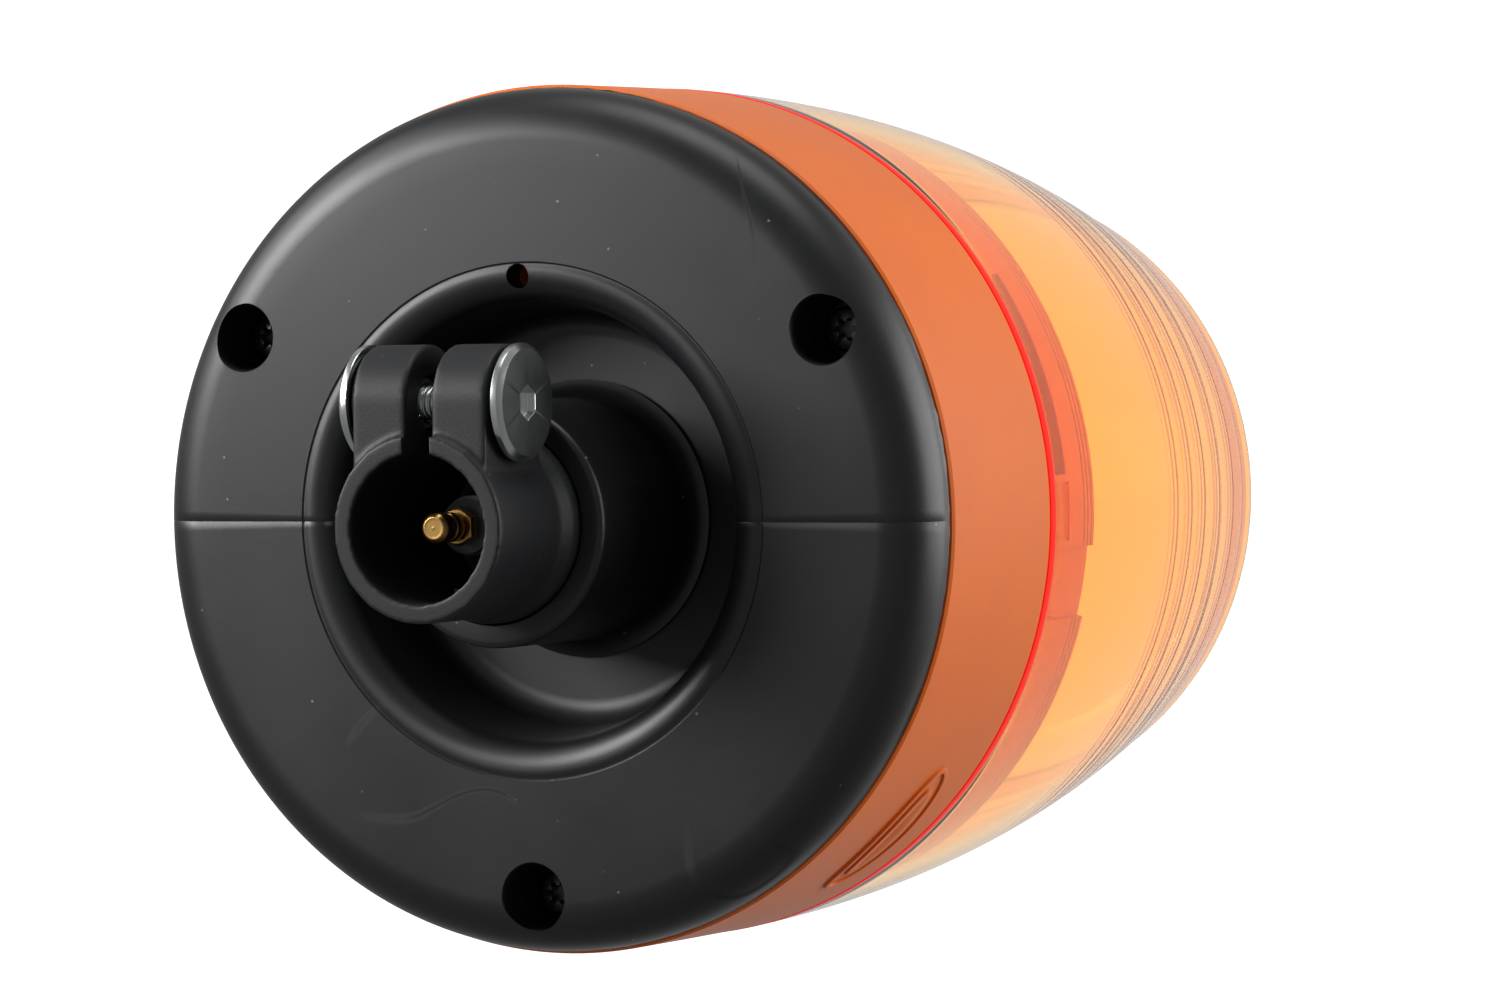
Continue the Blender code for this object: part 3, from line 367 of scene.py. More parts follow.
def add_grain(tree, shader, scale, depth):
    """Places the grain group and feeds the shader's normal. Gives the group's node."""
    grain = add_node(tree, "ShaderNodeGroup", node_tree=grain_group)
    grain.inputs["Scale"].default_value = scale
    grain.inputs["Depth"].default_value = depth
    tree.links.new(object_coordinates(tree), grain.inputs["Vector"])
    tree.links.new(grain.outputs["Normal"], shader.inputs["Normal"])
    return grain


def spread(tree, source, socket, low, high):
    """Feeds a socket with a mask stretched between two values."""
    span = add_node(tree, "ShaderNodeMapRange", {"To Min": low, "To Max": high})
    tree.links.new(source, span.inputs["Value"])
    tree.links.new(span.outputs["Result"], socket)
    return span


def blend_colours(tree, mask, first, second, shader):
    """Makes the base colour first where the mask is 0 and second where it is 1.

    First may be another node's colour output in place of a colour."""
    mix = add_node(tree, "ShaderNodeMix", data_type="RGBA")
    factor, a, b = [entry for entry in mix.inputs if entry.enabled]
    mixed = [entry for entry in mix.outputs if entry.enabled][0]
    if isinstance(first, bpy.types.NodeSocket):
        tree.links.new(first, a)
    else:
        a.default_value = first
    b.default_value = second
    tree.links.new(mask, factor)
    tree.links.new(mixed, shader.inputs["Base Color"])
    return mixed


def set_in_frame(piece, finish, body, node):
    """Gives the piece its finish and its body, in place of the frame's node."""
    piece.data.materials.append(finish)
    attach(piece, body)
    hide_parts(node)


nylon, tree, shader = new_finish("black_nylon", Base_Color=srgb(15, 16, 17), Roughness=0.6, IOR=1.4)
grain = add_grain(tree, shader, 2600, 0.035 * mm)
spread(tree, grain.outputs["Mottle"], shader.inputs["Roughness"], 0.36, 0.6)
marks = add_node(tree, "ShaderNodeGroup", node_tree=marks_group)
marks.inputs["Scratch Scale"].default_value = 60
marks.inputs["Dust Scale"].default_value = 420
tree.links.new(object_coordinates(tree), marks.inputs["Vector"])
blend_colours(tree, marks.outputs["Dust"], srgb(27, 28, 30), srgb(92, 93, 96), shader)

socket_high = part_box("clamp_socket")[1]
root_r = socket_high.x
tube_r = 15.4 * mm
bore_r = frame["record"]["mounts"][0]["dims"]["r_mm"] * mm
bore_depth = 36 * mm
ear_x = 12.2 * mm
ear_r = 9.6 * mm
bolt_y = socket_high.y - ear_r
bolt_z = 10.7 * mm
slot_half = 2.5 * mm

tube_outline = [
    (root_r, socket_high.z),
    (root_r, 24 * mm),
    (tube_r, 21 * mm),
    (tube_r, 0),
    (bore_r - 1 * mm, 0),
    (bore_r - 1 * mm, bore_depth - 1 * mm),
    (4.2 * mm, bore_depth - 1 * mm),
    (4.2 * mm, socket_high.z),
]
clamp_socket = turn_on_lathe("clamp_socket_moulding", tube_outline, 128)
ears = block("ears", (-ear_x, bore_r * 0.6, bolt_z - ear_r), (ear_x, socket_high.y, bolt_z + ear_r))
select_where(ears, "edges", lambda c: c.y > socket_high.y - 0.1 * mm and abs(c.x) < 0.1 * mm)
bpy.ops.mesh.bevel(offset=ear_r * 0.995, segments=20)
bpy.ops.object.mode_set(mode="OBJECT")
boolean(clamp_socket, ears, "UNION")
bore_tool = [(0, bore_depth), (bore_r, bore_depth), (bore_r, -2 * mm), (0, -2 * mm)]
boolean(clamp_socket, turn_on_lathe("bore_tool", bore_tool, 128, closed=False), "DIFFERENCE")
slot_tool = block("slot_tool", (-slot_half, bore_r * 0.5, -2 * mm), (slot_half, 34 * mm, 22 * mm))
boolean(clamp_socket, slot_tool, "DIFFERENCE")
hole_r = 3.4 * mm
hole_tool = [(0, 20 * mm), (hole_r, 20 * mm), (hole_r, -20 * mm), (0, -20 * mm)]
tool = turn_on_lathe("hole_tool", hole_tool, 48, closed=False, at=(bolt_y, bolt_z), along_x=1)
boolean(clamp_socket, tool, "DIFFERENCE")
sleeve_r = 4.6 * mm
hole_tool = [(0, 20 * mm), (sleeve_r, 20 * mm), (sleeve_r, 0), (0, 0)]
tool = turn_on_lathe("sleeve_tool", hole_tool, 48, closed=False, at=(bolt_y, bolt_z), along_x=1)
boolean(clamp_socket, tool, "DIFFERENCE")
tail_low = (-1.9 * mm, -12 * mm, bore_depth - 2 * mm)
tail_tool = block("tail_tool", tail_low, (1.9 * mm, -10.6 * mm, 41 * mm))
boolean(clamp_socket, tail_tool, "DIFFERENCE")
apply_modifier(clamp_socket, "REMESH", mode="VOXEL", voxel_size=0.42 * mm)
apply_modifier(clamp_socket, "SMOOTH", factor=0.5, iterations=5)
smooth(clamp_socket, 60)
set_in_frame(clamp_socket, nylon, "socket", "clamp_socket")

# ---------------------------------------------------------------- clamp bolt and sleeve nut
# Bright zinc-plated steel. Both have a large flat disc head with a bevelled rim, on a dark washer that
# sits on the ear; the bolt has a hexagon socket, and its thread shows in the gap between the ears.
zinc, tree, shader = new_finish("bright_zinc_plate", Metallic=1.0, Roughness=0.24)
grain = add_grain(tree, shader, 900, 0.006 * mm)
spread(tree, grain.outputs["Mottle"], shader.inputs["Roughness"], 0.12, 0.36)
blend_colours(tree, grain.outputs["Mottle"], srgb(196, 200, 202), srgb(226, 228, 226), shader)
dark_steel, tree, shader = new_finish("dark_zinc_plate", Metallic=1.0, Roughness=0.4)
grain = add_grain(tree, shader, 1200, 0.01 * mm)
spread(tree, grain.outputs["Mottle"], shader.inputs["Roughness"], 0.28, 0.5)
blend_colours(tree, grain.outputs["Mottle"], srgb(66, 67, 70), srgb(112, 112, 114), shader)

bolt_low, bolt_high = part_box("clamp_bolt")
head_out = -bolt_low.x
head_in = head_out - 1.8 * mm
head_r = (bolt_high.y - bolt_low.y) / 2
shank_r = 3 * mm
thread_pitch = 1 * mm
thread_depth = 0.55 * mm
bolt_outline = [
    (0, head_out),
    (head_r - 0.9 * mm, head_out),
    (head_r, head_out - 0.75 * mm),
    (head_r, head_in),
    (shank_r, head_in),
]
height = head_in - 6 * mm
while height > -8 * mm:
    bolt_outline += [(shank_r, height), (shank_r - thread_depth, height - thread_pitch / 2)]
    height -= thread_pitch
bolt_outline += [(shank_r, -8.6 * mm), (shank_r - 0.5 * mm, -9 * mm), (0, -9 * mm)]
at_bolt = {"at": (bolt_y, bolt_z)}
clamp_bolt = turn_on_lathe("clamp_bolt_turned", bolt_outline, 96, closed=False, along_x=-1, **at_bolt)


def hex_tool(name, across_flats, place, depth, direction="X"):
    """A six-sided cutter for a socket."""
    bpy.ops.object.select_all(action="DESELECT")
    turn = (0, math.pi / 2, 0) if direction == "X" else (0, 0, 0)
    corner_r = across_flats / math.sqrt(3)
    bpy.ops.mesh.primitive_cylinder_add(
        vertices=6, radius=corner_r, depth=depth, location=place, rotation=turn
    )
    return place_mesh(name_it(name))


boolean(clamp_bolt, hex_tool("hex_tool", 5.2 * mm, (-head_out, bolt_y, bolt_z), 2.8 * mm), "DIFFERENCE")
smooth(round_edges(clamp_bolt, 0.12 * mm, 2, 50), 16)
set_in_frame(clamp_bolt, zinc, "bolt", "clamp_bolt")

nut_outline = [
    (head_r - 0.9 * mm, head_out),
    (head_r, head_out - 0.75 * mm),
    (head_r, head_in),
    (4.2 * mm, head_in),
    (4.2 * mm, 3.5 * mm),
    (shank_r + 0.3 * mm, 3.5 * mm),
    (shank_r + 0.3 * mm, head_out),
]
clamp_nut = turn_on_lathe("clamp_nut_turned", nut_outline, 96, along_x=1, **at_bolt)
smooth(round_edges(clamp_nut, 0.12 * mm, 2, 50), 16)
set_in_frame(clamp_nut, zinc, "socket", "clamp_nut")

for name, node, body, side, hole in (
    ("bolt_washer_disc", "bolt_washer", "bolt_carriage", -1, 3.3 * mm),
    ("nut_washer_disc", "nut_washer", "socket", 1, 4.5 * mm),
):
    washer_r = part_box(node)[1].y - bolt_y
    inner_x, outer_x = ear_x + 0.3 * mm, ear_x + 0.8 * mm
    outline = [(washer_r, outer_x), (washer_r, inner_x), (hole, inner_x), (hole, outer_x)]
    washer = turn_on_lathe(name, outline, 72, along_x=side, **at_bolt)
    smooth(round_edges(washer, 0.1 * mm, 2))
    set_in_frame(washer, dark_steel, body, node)

# ---------------------------------------------------------------- centre contact
# A turned brass cap slides on a spring over its stud; a brass nut locks the stud in the grey insulator.
# The cap's tip is chamfered and still shows the rings that the lathe left.
brass, tree, shader = new_finish("turned_brass", Metallic=1.0, Roughness=0.26)
grain = add_grain(tree, shader, 700, 0.01 * mm)
blend_colours(tree, grain.outputs["Mottle"], srgb(176, 132, 74), srgb(214, 172, 106), shader)
spread(tree, grain.outputs["Mottle"], shader.inputs["Roughness"], 0.18, 0.42)

cap_low, cap_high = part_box("contact_plunger")
cap_r = 2.45 * mm
rings = [
    (0.35 * mm * step + 0.2 * mm, cap_low.z + (0.06 * mm if step % 2 else 0)) for step in range(5)
]
cap_outline = [
    (0, cap_low.z + 1.7 * mm),
    (1.8 * mm, cap_low.z + 1.7 * mm),
    (1.8 * mm, cap_high.z),
    (cap_r, cap_high.z),
    (cap_r, cap_low.z + 4.2 * mm),
    (cap_r - 0.22 * mm, cap_low.z + 4 * mm),
    (cap_r - 0.22 * mm, cap_low.z + 3.4 * mm),
    (cap_r, cap_low.z + 3.2 * mm),
    (cap_r, cap_low.z + 0.65 * mm),
    (cap_r - 0.6 * mm, cap_low.z),
    *reversed(rings),
    (0, cap_low.z),
]
plunger = turn_on_lathe("contact_cap", cap_outline, 64, closed=False)
smooth(round_edges(plunger, 0.05 * mm, 2, 40), 30)
set_in_frame(plunger, brass, "plunger", "contact_plunger")

nut_low, nut_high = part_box("contact_nut")
nut = hex_tool(
    "contact_lock_nut", 5.6 * mm, (0, 0, (nut_low.z + nut_high.z) / 2), nut_high.z - nut_low.z, "Z"
)
chamfer = [
    (1.8 * mm, nut_high.z),
    (2.75 * mm, nut_high.z),
    (3.3 * mm, nut_high.z - 0.35 * mm),
    (3.3 * mm, nut_low.z + 0.35 * mm),
    (2.75 * mm, nut_low.z),
    (1.8 * mm, nut_low.z),
]
boolean(nut, turn_on_lathe("chamfer_tool", chamfer, 48), "INTERSECT")
smooth(round_edges(nut, 0.06 * mm, 2, 25), 30)
set_in_frame(nut, brass, "socket", "contact_nut")

grey_plastic, tree, shader = new_finish("grey_plastic", Roughness=0.5)
grain = add_grain(tree, shader, 1500, 0.02 * mm)
blend_colours(tree, grain.outputs["Mottle"], srgb(58, 59, 62), srgb(84, 85, 88), shader)
spread(tree, grain.outputs["Mottle"], shader.inputs["Roughness"], 0.4, 0.6)

insulator_low, insulator_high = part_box("contact_insulator")
insulator_outline = [
    (3.9 * mm, insulator_high.z),
    (3.9 * mm, 35.7 * mm),
    (5 * mm, 35.7 * mm),
    (5 * mm, insulator_low.z + 1.2 * mm),
    (4.6 * mm, insulator_low.z + 1 * mm),
    (4.6 * mm, insulator_low.z),
    (1.8 * mm, insulator_low.z),
    (1.8 * mm, insulator_high.z),
]
insulator = turn_on_lathe("contact_insulator_turned", insulator_outline, 72)
smooth(round_edges(insulator, 0.15 * mm, 2))
set_in_frame(insulator, grey_plastic, "socket", "contact_insulator")

stud_low, stud_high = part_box("contact_stud")
stud_r = 1.5 * mm
stud_outline = [(0, stud_high.z), (stud_r - 0.2 * mm, stud_high.z)]
height = stud_high.z - 0.2 * mm
while height > stud_low.z + 0.8 * mm:
    stud_outline += [(stud_r, height), (stud_r - 0.25 * mm, height - 0.25 * mm)]
    height -= 0.5 * mm
stud_outline += [(stud_r, stud_low.z + 0.2 * mm), (stud_r - 0.2 * mm, stud_low.z), (0, stud_low.z)]
stud = turn_on_lathe("contact_stud_threaded", stud_outline, 32, closed=False)
smooth(stud, 30)
set_in_frame(stud, brass, "socket", "contact_stud")

for name in ("contact_tag", "earth_contact"):
    frame["nodes"][name].data.materials.clear()
    frame["nodes"][name].data.materials.append(brass)


def coil_spring(name, coil_r, wire_r, low, high, turns):
    """A wire's round section stood up beside the axis and screwed round it."""
    bpy.ops.object.select_all(action="DESELECT")
    bpy.ops.mesh.primitive_circle_add(
        vertices=10,
        radius=wire_r,
        fill_type="NGON",
        location=(coil_r, 0, low),
        rotation=(math.pi / 2, 0, 0),
    )
    spring = place_mesh(name_it(name))
    settings = {"angle": 2 * math.pi * turns, "screw_offset": high - low, "steps": int(28 * turns)}
    settings["render_steps"] = settings["steps"]
    apply_modifier(spring, "SCREW", use_smooth_shade=True, **settings)
    bpy.ops.object.mode_set(mode="EDIT")
    bpy.ops.mesh.select_all(action="SELECT")
    bpy.ops.mesh.remove_doubles(threshold=0.002 * mm)
    bpy.ops.mesh.delete_loose()
    bpy.ops.mesh.select_all(action="SELECT")
    bpy.ops.mesh.fill_holes(sides=0)
    bpy.ops.mesh.select_all(action="SELECT")
    bpy.ops.mesh.normals_make_consistent(inside=False)
    bpy.ops.object.mode_set(mode="OBJECT")
    return smooth(spring, 60)


spring_low, spring_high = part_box("contact_spring")
spring_ends = (spring_low.z + 0.2 * mm, spring_high.z - 0.2 * mm)
contact_spring = coil_spring("contact_coil", 1.1 * mm, 0.2 * mm, *spring_ends, 3)
contact_spring.data.materials.append(zinc)
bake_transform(contact_spring)
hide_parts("contact_spring")

# ---------------------------------------------------------------- rubber neck
# Soft black rubber. A thick sleeve grips the socket's root, and above it the neck bends in any
# direction. It is made as two pieces, lower and upper, split 50 mm up.
RUBBER = srgb(17, 18, 20)
rubber, tree, shader = new_finish("black_rubber", Base_Color=RUBBER, Roughness=0.4, IOR=1.5)
grain = add_grain(tree, shader, 1400, 0.014 * mm)
marks = add_node(tree, "ShaderNodeGroup", node_tree=marks_group)
marks.inputs["Scratch Scale"].default_value = 15
marks.inputs["Dust Scale"].default_value = 260
tree.links.new(object_coordinates(tree), marks.inputs["Vector"])
gloss = spread(tree, grain.outputs["Mottle"], shader.inputs["Roughness"], 0.3, 0.5)
scuffed = add_node(tree, "ShaderNodeMath", {1: 0.4}, operation="MULTIPLY_ADD", use_clamp=True)
tree.links.new(marks.outputs["Scratches"], scuffed.inputs[0])
tree.links.new(gloss.outputs["Result"], scuffed.inputs[2])
tree.links.new(scuffed.outputs[0], shader.inputs["Roughness"])
dusted = blend_colours(tree, marks.outputs["Dust"], RUBBER, srgb(120, 122, 126), shader)
blend_colours(tree, marks.outputs["Scratches"], dusted, srgb(12, 12, 13), shader)

neck_low, neck_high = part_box("rubber_neck")
neck_r = 20.7 * mm
neck_split_z = 50 * mm
bend_top_z = neck_high.z - 4.8 * mm
grip_top_z = socket_high.z + 0.3 * mm
flare = arc((neck_r + 4.2 * mm, neck_high.z - 4.6 * mm), 4.2 * mm, 105, 180, 7)
upper_outline = [
    *flare,
    *[(neck_r, bend_top_z - step * (bend_top_z - neck_split_z) / 5) for step in range(6)],
    *[(9 * mm, neck_split_z + step * (neck_high.z - neck_split_z) / 8) for step in range(9)],
]
upper_neck = turn_on_lathe("neck_upper", upper_outline, 128)
lower_outline = [
    *[(neck_r, neck_split_z - step * (neck_split_z - neck_low.z - 2 * mm) / 12) for step in range(12)],
    *arc((neck_r - 1.2 * mm, neck_low.z + 1.2 * mm), 1.2 * mm, 0, -90, 5),
    (root_r + 0.4 * mm, neck_low.z),
    (root_r + 0.1 * mm, neck_low.z + 0.4 * mm),
    (root_r + 0.1 * mm, grip_top_z),
    (13.2 * mm, grip_top_z),
    (13.2 * mm, grip_top_z + 4 * mm),
    *[(9 * mm, 46 * mm + step * (neck_split_z - 46 * mm) / 3) for step in range(4)],
]
lower_neck = turn_on_lathe("neck_lower", lower_outline, 128)
for piece in (upper_neck, lower_neck):
    smooth(piece, 40)
    piece.data.materials.append(rubber)
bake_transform(lower_neck)
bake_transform(upper_neck)
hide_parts("rubber_neck")
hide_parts("rubber_neck")

# ---------------------------------------------------------------- rubber foot
# The same rubber, a thick pad with a rounded rim that plugs into the housing. A moat leaves the neck
# room to bend; the mould's halves left a fine line across the middle and a ragged flash at the top.
foot_low, foot_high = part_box("rubber_foot")
foot_r = foot_high.x
face_z = foot_low.z
edge_r = 9 * mm
flange_top_z = 48.7 * mm
plug_r = 70.9 * mm
plug_top_z = 57 * mm
hat_r = 38.6 * mm
lip_r = 42 * mm
lip_fillet = 5 * mm
moat_roof_z = foot_high.z - 3.5 * mm
foot_outline = [
    (plug_r, plug_top_z),
    (plug_r, flange_top_z),
    (foot_r - 0.25 * mm, flange_top_z),
    (foot_r, flange_top_z - 0.35 * mm),
    *arc((foot_r - edge_r, face_z + edge_r), edge_r, 0, -90, 20),
    (60 * mm, face_z),
    (52 * mm, face_z),
    (lip_r + 1.8 * mm, face_z),
    (lip_r + 1.5 * mm, face_z + 0.22 * mm),
    (lip_r + 1.2 * mm, face_z + 0.22 * mm),
    (lip_r + 0.8 * mm, face_z + 0.02 * mm),
    *arc((lip_r, face_z + lip_fillet), lip_fillet, -90, -172, 14),
    (lip_r - lip_fillet - 0.3 * mm, face_z + 9 * mm),
    (35.5 * mm, moat_roof_z - 5 * mm),
    *arc((31 * mm, moat_roof_z - 4.5 * mm), 4.5 * mm, 10, 90, 8),
    (14.2 * mm, moat_roof_z),
    (14.2 * mm, foot_high.z),
    (hat_r, foot_high.z),
    (hat_r, plug_top_z),
]
foot = turn_on_lathe("rubber_foot_moulding", foot_outline, 240)

# The flash: a thin fin squeezed out between the mould and the housing, torn off unevenly.
ragged = random.Random(7)
tear = [ragged.random() for step in range(48)]


def tear_at(point):
    """How far the fin stands out here, from 0 to 1, the same at any radius."""
    turn = (math.atan2(point.y, point.x) / (2 * math.pi)) % 1
    fine = math.sin(turn * 900) * 0.5 + math.sin(turn * 2311) * 0.5
    return max(0, tear[int(turn * 48)] * 0.6 + fine * 0.4)


select_where(foot, "vertices", lambda c: False)
bpy.ops.object.mode_set(mode="OBJECT")
for corner in foot.data.vertices:
    distance = math.hypot(corner.co.x, corner.co.y)
    if distance > foot_r - 0.4 * mm and corner.co.z > flange_top_z - 0.5 * mm:
        push = 1 + 0.3 * mm * tear_at(corner.co) / distance
        corner.co.x *= push
        corner.co.y *= push

# The parting line: the edges across the middle are widened to a strip, and the strip is raised.
bpy.ops.object.mode_set(mode="EDIT")
bpy.ops.mesh.select_mode(type="EDGE")
bpy.ops.mesh.select_all(action="DESELECT")
bpy.ops.object.mode_set(mode="OBJECT")
points = foot.data.vertices
for edge in foot.data.edges:
    ends = [points[i].co for i in edge.vertices]
    outer = all(math.hypot(c.x, c.y) > 36 * mm and c.z < flange_top_z - 1 * mm for c in ends)
    edge.select = outer and all(abs(c.y) < 0.01 * mm for c in ends)
bpy.ops.object.mode_set(mode="EDIT")
bpy.ops.mesh.bevel(offset=0.13 * mm, segments=2, affect="EDGES")
bpy.ops.mesh.select_mode(type="VERT")
bpy.ops.mesh.select_all(action="DESELECT")
bpy.ops.object.mode_set(mode="OBJECT")
for corner in foot.data.vertices:
    on_line = abs(corner.co.y) < 0.01 * mm and math.hypot(corner.co.x, corner.co.y) > 36 * mm
    corner.select = on_line and corner.co.z < flange_top_z - 1.5 * mm
bpy.ops.object.mode_set(mode="EDIT")
bpy.ops.transform.shrink_fatten(value=-0.07 * mm)
bpy.ops.object.mode_set(mode="OBJECT")

screw_places = []
for number in (1, 2, 3):
    low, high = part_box(f"foot_washer_{number}")
    screw_places.append(((low.x + high.x) / 2, (low.y + high.y) / 2))
well_r = 5.7 * mm
well_floor_z = face_z + 14.6 * mm
for place in screw_places:
    well = [
        (0, plug_top_z + 1 * mm),
        (2.9 * mm, plug_top_z + 1 * mm),
        (2.9 * mm, well_floor_z),
        (well_r, well_floor_z),
        (well_r, face_z + 0.5 * mm),
        (well_r + 0.8 * mm, face_z - 0.8 * mm),
        (0, face_z - 0.8 * mm),
    ]
    boolean(foot, turn_on_lathe("well_tool", well, 64, closed=False, at=place), "DIFFERENCE")
drain_turn = math.radians(88)
drain_at = (41.4 * mm * math.cos(drain_turn), 41.4 * mm * math.sin(drain_turn))
drain_r = 2.1 * mm
sleeve = (drain_r + 0.8 * mm, face_z + 5 * mm)
drain = [
    (0, plug_top_z + 1 * mm),
    (sleeve[0], plug_top_z + 1 * mm),
    (sleeve[0], sleeve[1]),
    (drain_r, sleeve[1]),
    (drain_r, face_z - 2 * mm),
    (0, face_z - 2 * mm),
]
boolean(foot, turn_on_lathe("drain_tool", drain, 40, closed=False, at=drain_at), "DIFFERENCE")
smooth(foot, 32)
set_in_frame(foot, rubber, "head", "rubber_foot")

# ---------------------------------------------------------------- screws and washers
# Pan-head screws with a six-lobed socket. The three long dark ones come up through the foot; small
# bright ones hold the chassis, the pedestal, the motor and the reflector.


def pan_screw(name, place, head_z, under_z, end_z, head_r, shank_r, steps=40):
    """A screw along Z: its head's outer face, the face under the head, and its tip, by height."""
    way = 1 if head_z > under_z else -1
    crown = 0.3 * (head_z - under_z)
    outline = [
        (0, head_z),
        (head_r * 0.5, head_z),
        (head_r * 0.8, head_z - crown * 0.4),
        (head_r * 0.97, head_z - crown * 1.4),
        (head_r, under_z + (head_z - under_z) * 0.25),
        (head_r, under_z),
        (shank_r, under_z),
    ]
    height, pitch = under_z - way * shank_r, 0.45 * shank_r
    while (height - end_z) * way > pitch:
        outline += [(shank_r, height), (shank_r * 0.84, height - way * pitch / 2)]
        height -= way * pitch
    outline += [(shank_r * 0.8, end_z), (0, end_z)]
    screw = turn_on_lathe(name, outline, steps, closed=False, at=place)
    lobe_r, socket_r = head_r * 0.13, head_r * 0.4
    depth = abs(head_z - under_z) * 0.6
    bpy.ops.object.select_all(action="DESELECT")
    middle = (*place, head_z)
    bpy.ops.mesh.primitive_cylinder_add(
        vertices=24, radius=socket_r * 0.86, depth=2 * depth, location=middle
    )
    star = place_mesh(name_it("star_tool"))
    for lobe in range(6):
        turn = math.pi / 3 * lobe
        spot = (place[0] + socket_r * math.cos(turn), place[1] + socket_r * math.sin(turn), head_z)
        bpy.ops.object.select_all(action="DESELECT")
        bpy.ops.mesh.primitive_cylinder_add(
            vertices=12, radius=lobe_r, depth=2.02 * depth, location=spot
        )
        boolean(star, place_mesh(name_it("lobe_tool")), "UNION")
    boolean(screw, star, "DIFFERENCE")
    return smooth(screw, 30)


def washer_ring(name, node, hole_r, place):
    low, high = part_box(node)
    outer_r = (high.x - low.x) / 2
    outline = [(outer_r, high.z), (outer_r, low.z), (hole_r, low.z), (hole_r, high.z)]
    return smooth(round_edges(turn_on_lathe(name, outline, 48, at=place), 0.12 * mm, 2))


for number, place in enumerate(screw_places, 1):
    low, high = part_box(f"foot_screw_{number}")
    heights = (low.z, low.z + 4 * mm, high.z)
    screw = pan_screw(f"foot_screw_{number}_turned", place, *heights, 4.1 * mm, 2.5 * mm, 56)
    set_in_frame(screw, dark_steel, "head", f"foot_screw_{number}")
    washer = washer_ring(f"foot_washer_{number}_disc", f"foot_washer_{number}", 2.8 * mm, place)
    set_in_frame(washer, dark_steel, "head", f"foot_washer_{number}")

for node, body, upward in (
    ("chassis_screw_1", "head", False),
    ("chassis_screw_2", "head", False),
    ("chassis_screw_3", "head", False),
    ("pedestal_screw_1", "head", False),
    ("pedestal_screw_2", "head", False),
    ("motor_screw_1", "head", True),
    ("motor_screw_2", "head", True),
    ("reflector_screw_1", "rotor", False),
    ("reflector_screw_2", "rotor", False),
):
    low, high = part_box(node)
    small_head_r = (high.y - low.y) / 2
    small_shank_r = small_head_r / 1.9
    place = ((low.x + high.x) / 2, (low.y + high.y) / 2)
    head_z, end_z = (low.z, high.z) if upward else (high.z, low.z)
    under_z = head_z + (1 if upward else -1) * 1.8 * small_shank_r
    screw = pan_screw(f"{node}_turned", place, head_z, under_z, end_z, small_head_r, small_shank_r, 28)
    set_in_frame(screw, zinc, body, node)

# ---------------------------------------------------------------- housing
# Satin orange plastic, moulded as a cup: its plain band shows between foot and lens, and the collar
# above the band holds the lens with three bayonet slots. A plain oval boss stands on the band.
BAND_LIGHT, BAND_DEEP = srgb(228, 116, 40), srgb(208, 96, 28)
satin, tree, shader = new_finish("satin_orange_plastic", Roughness=0.46, IOR=1.35)
shader.inputs["Subsurface Weight"].default_value = 0.25
shader.inputs["Subsurface Radius"].default_value = (3 * mm, 1.2 * mm, 0.4 * mm)
shader.inputs["Subsurface Scale"].default_value = 1.0
grain = add_grain(tree, shader, 1900, 0.02 * mm)
blend_colours(tree, grain.outputs["Mottle"], BAND_DEEP, BAND_LIGHT, shader)
spread(tree, grain.outputs["Mottle"], shader.inputs["Roughness"], 0.38, 0.54)

house_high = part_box("housing")[1]
band_r = house_high.x
band_bottom_z = 49 * mm
band_top_z = 88.4 * mm
floor_z = 57.3 * mm
collar_r = 71.2 * mm
collar_in = 68.6 * mm
collar_top_z = house_high.z
house_outline = [
    (band_r, band_top_z),
    (band_r, band_top_z - 1.5 * mm),
    (band_r - 0.25 * mm, band_bottom_z + 20 * mm),
    (band_r - 0.6 * mm, band_bottom_z + 0.5 * mm),
    (band_r - 1 * mm, band_bottom_z),
    (collar_r, band_bottom_z),
    (collar_r, floor_z),
    (hat_r + 0.3 * mm, floor_z),
    (hat_r + 0.3 * mm, floor_z + 3 * mm),
    (68 * mm, floor_z + 3 * mm),
    (71 * mm, floor_z + 6 * mm),
    (71 * mm, band_top_z - 5 * mm),
    (collar_in, band_top_z - 2 * mm),
    (collar_in, collar_top_z),
    (collar_r - 0.4 * mm, collar_top_z),
    (collar_r, collar_top_z - 0.4 * mm),
]
for line_z in (collar_top_z - 1.6 * mm, collar_top_z - 3.2 * mm, collar_top_z - 4.8 * mm):
    house_outline += [
        (collar_r, line_z + 0.3 * mm),
        (collar_r - 0.35 * mm, line_z + 0.1 * mm),
        (collar_r - 0.35 * mm, line_z - 0.1 * mm),
        (collar_r, line_z - 0.3 * mm),
    ]
house_outline += [
    (collar_r, band_top_z + 0.6 * mm),
    (collar_r + 0.3 * mm, band_top_z),
    (71.9 * mm, band_top_z),
    (71.9 * mm, band_top_z - 1.2 * mm),
    (73.3 * mm, band_top_z - 1.2 * mm),
    (73.3 * mm, band_top_z),
]
housing = turn_on_lathe("housing_moulding", house_outline, 240)


def post(name, place, radius, low, high, sides=32):
    """A round post with a rounded top edge."""
    outline = [(0, high), (radius - 0.4 * mm, high), (radius, high - 0.4 * mm), (radius, low), (0, low)]
    return turn_on_lathe(name, outline, sides, closed=False, at=place)


def hole(name, place, radius, low, high, sides=28):
    outline = [(0, high), (radius, high), (radius, low), (0, low)]
    return turn_on_lathe(name, outline, sides, closed=False, at=place)


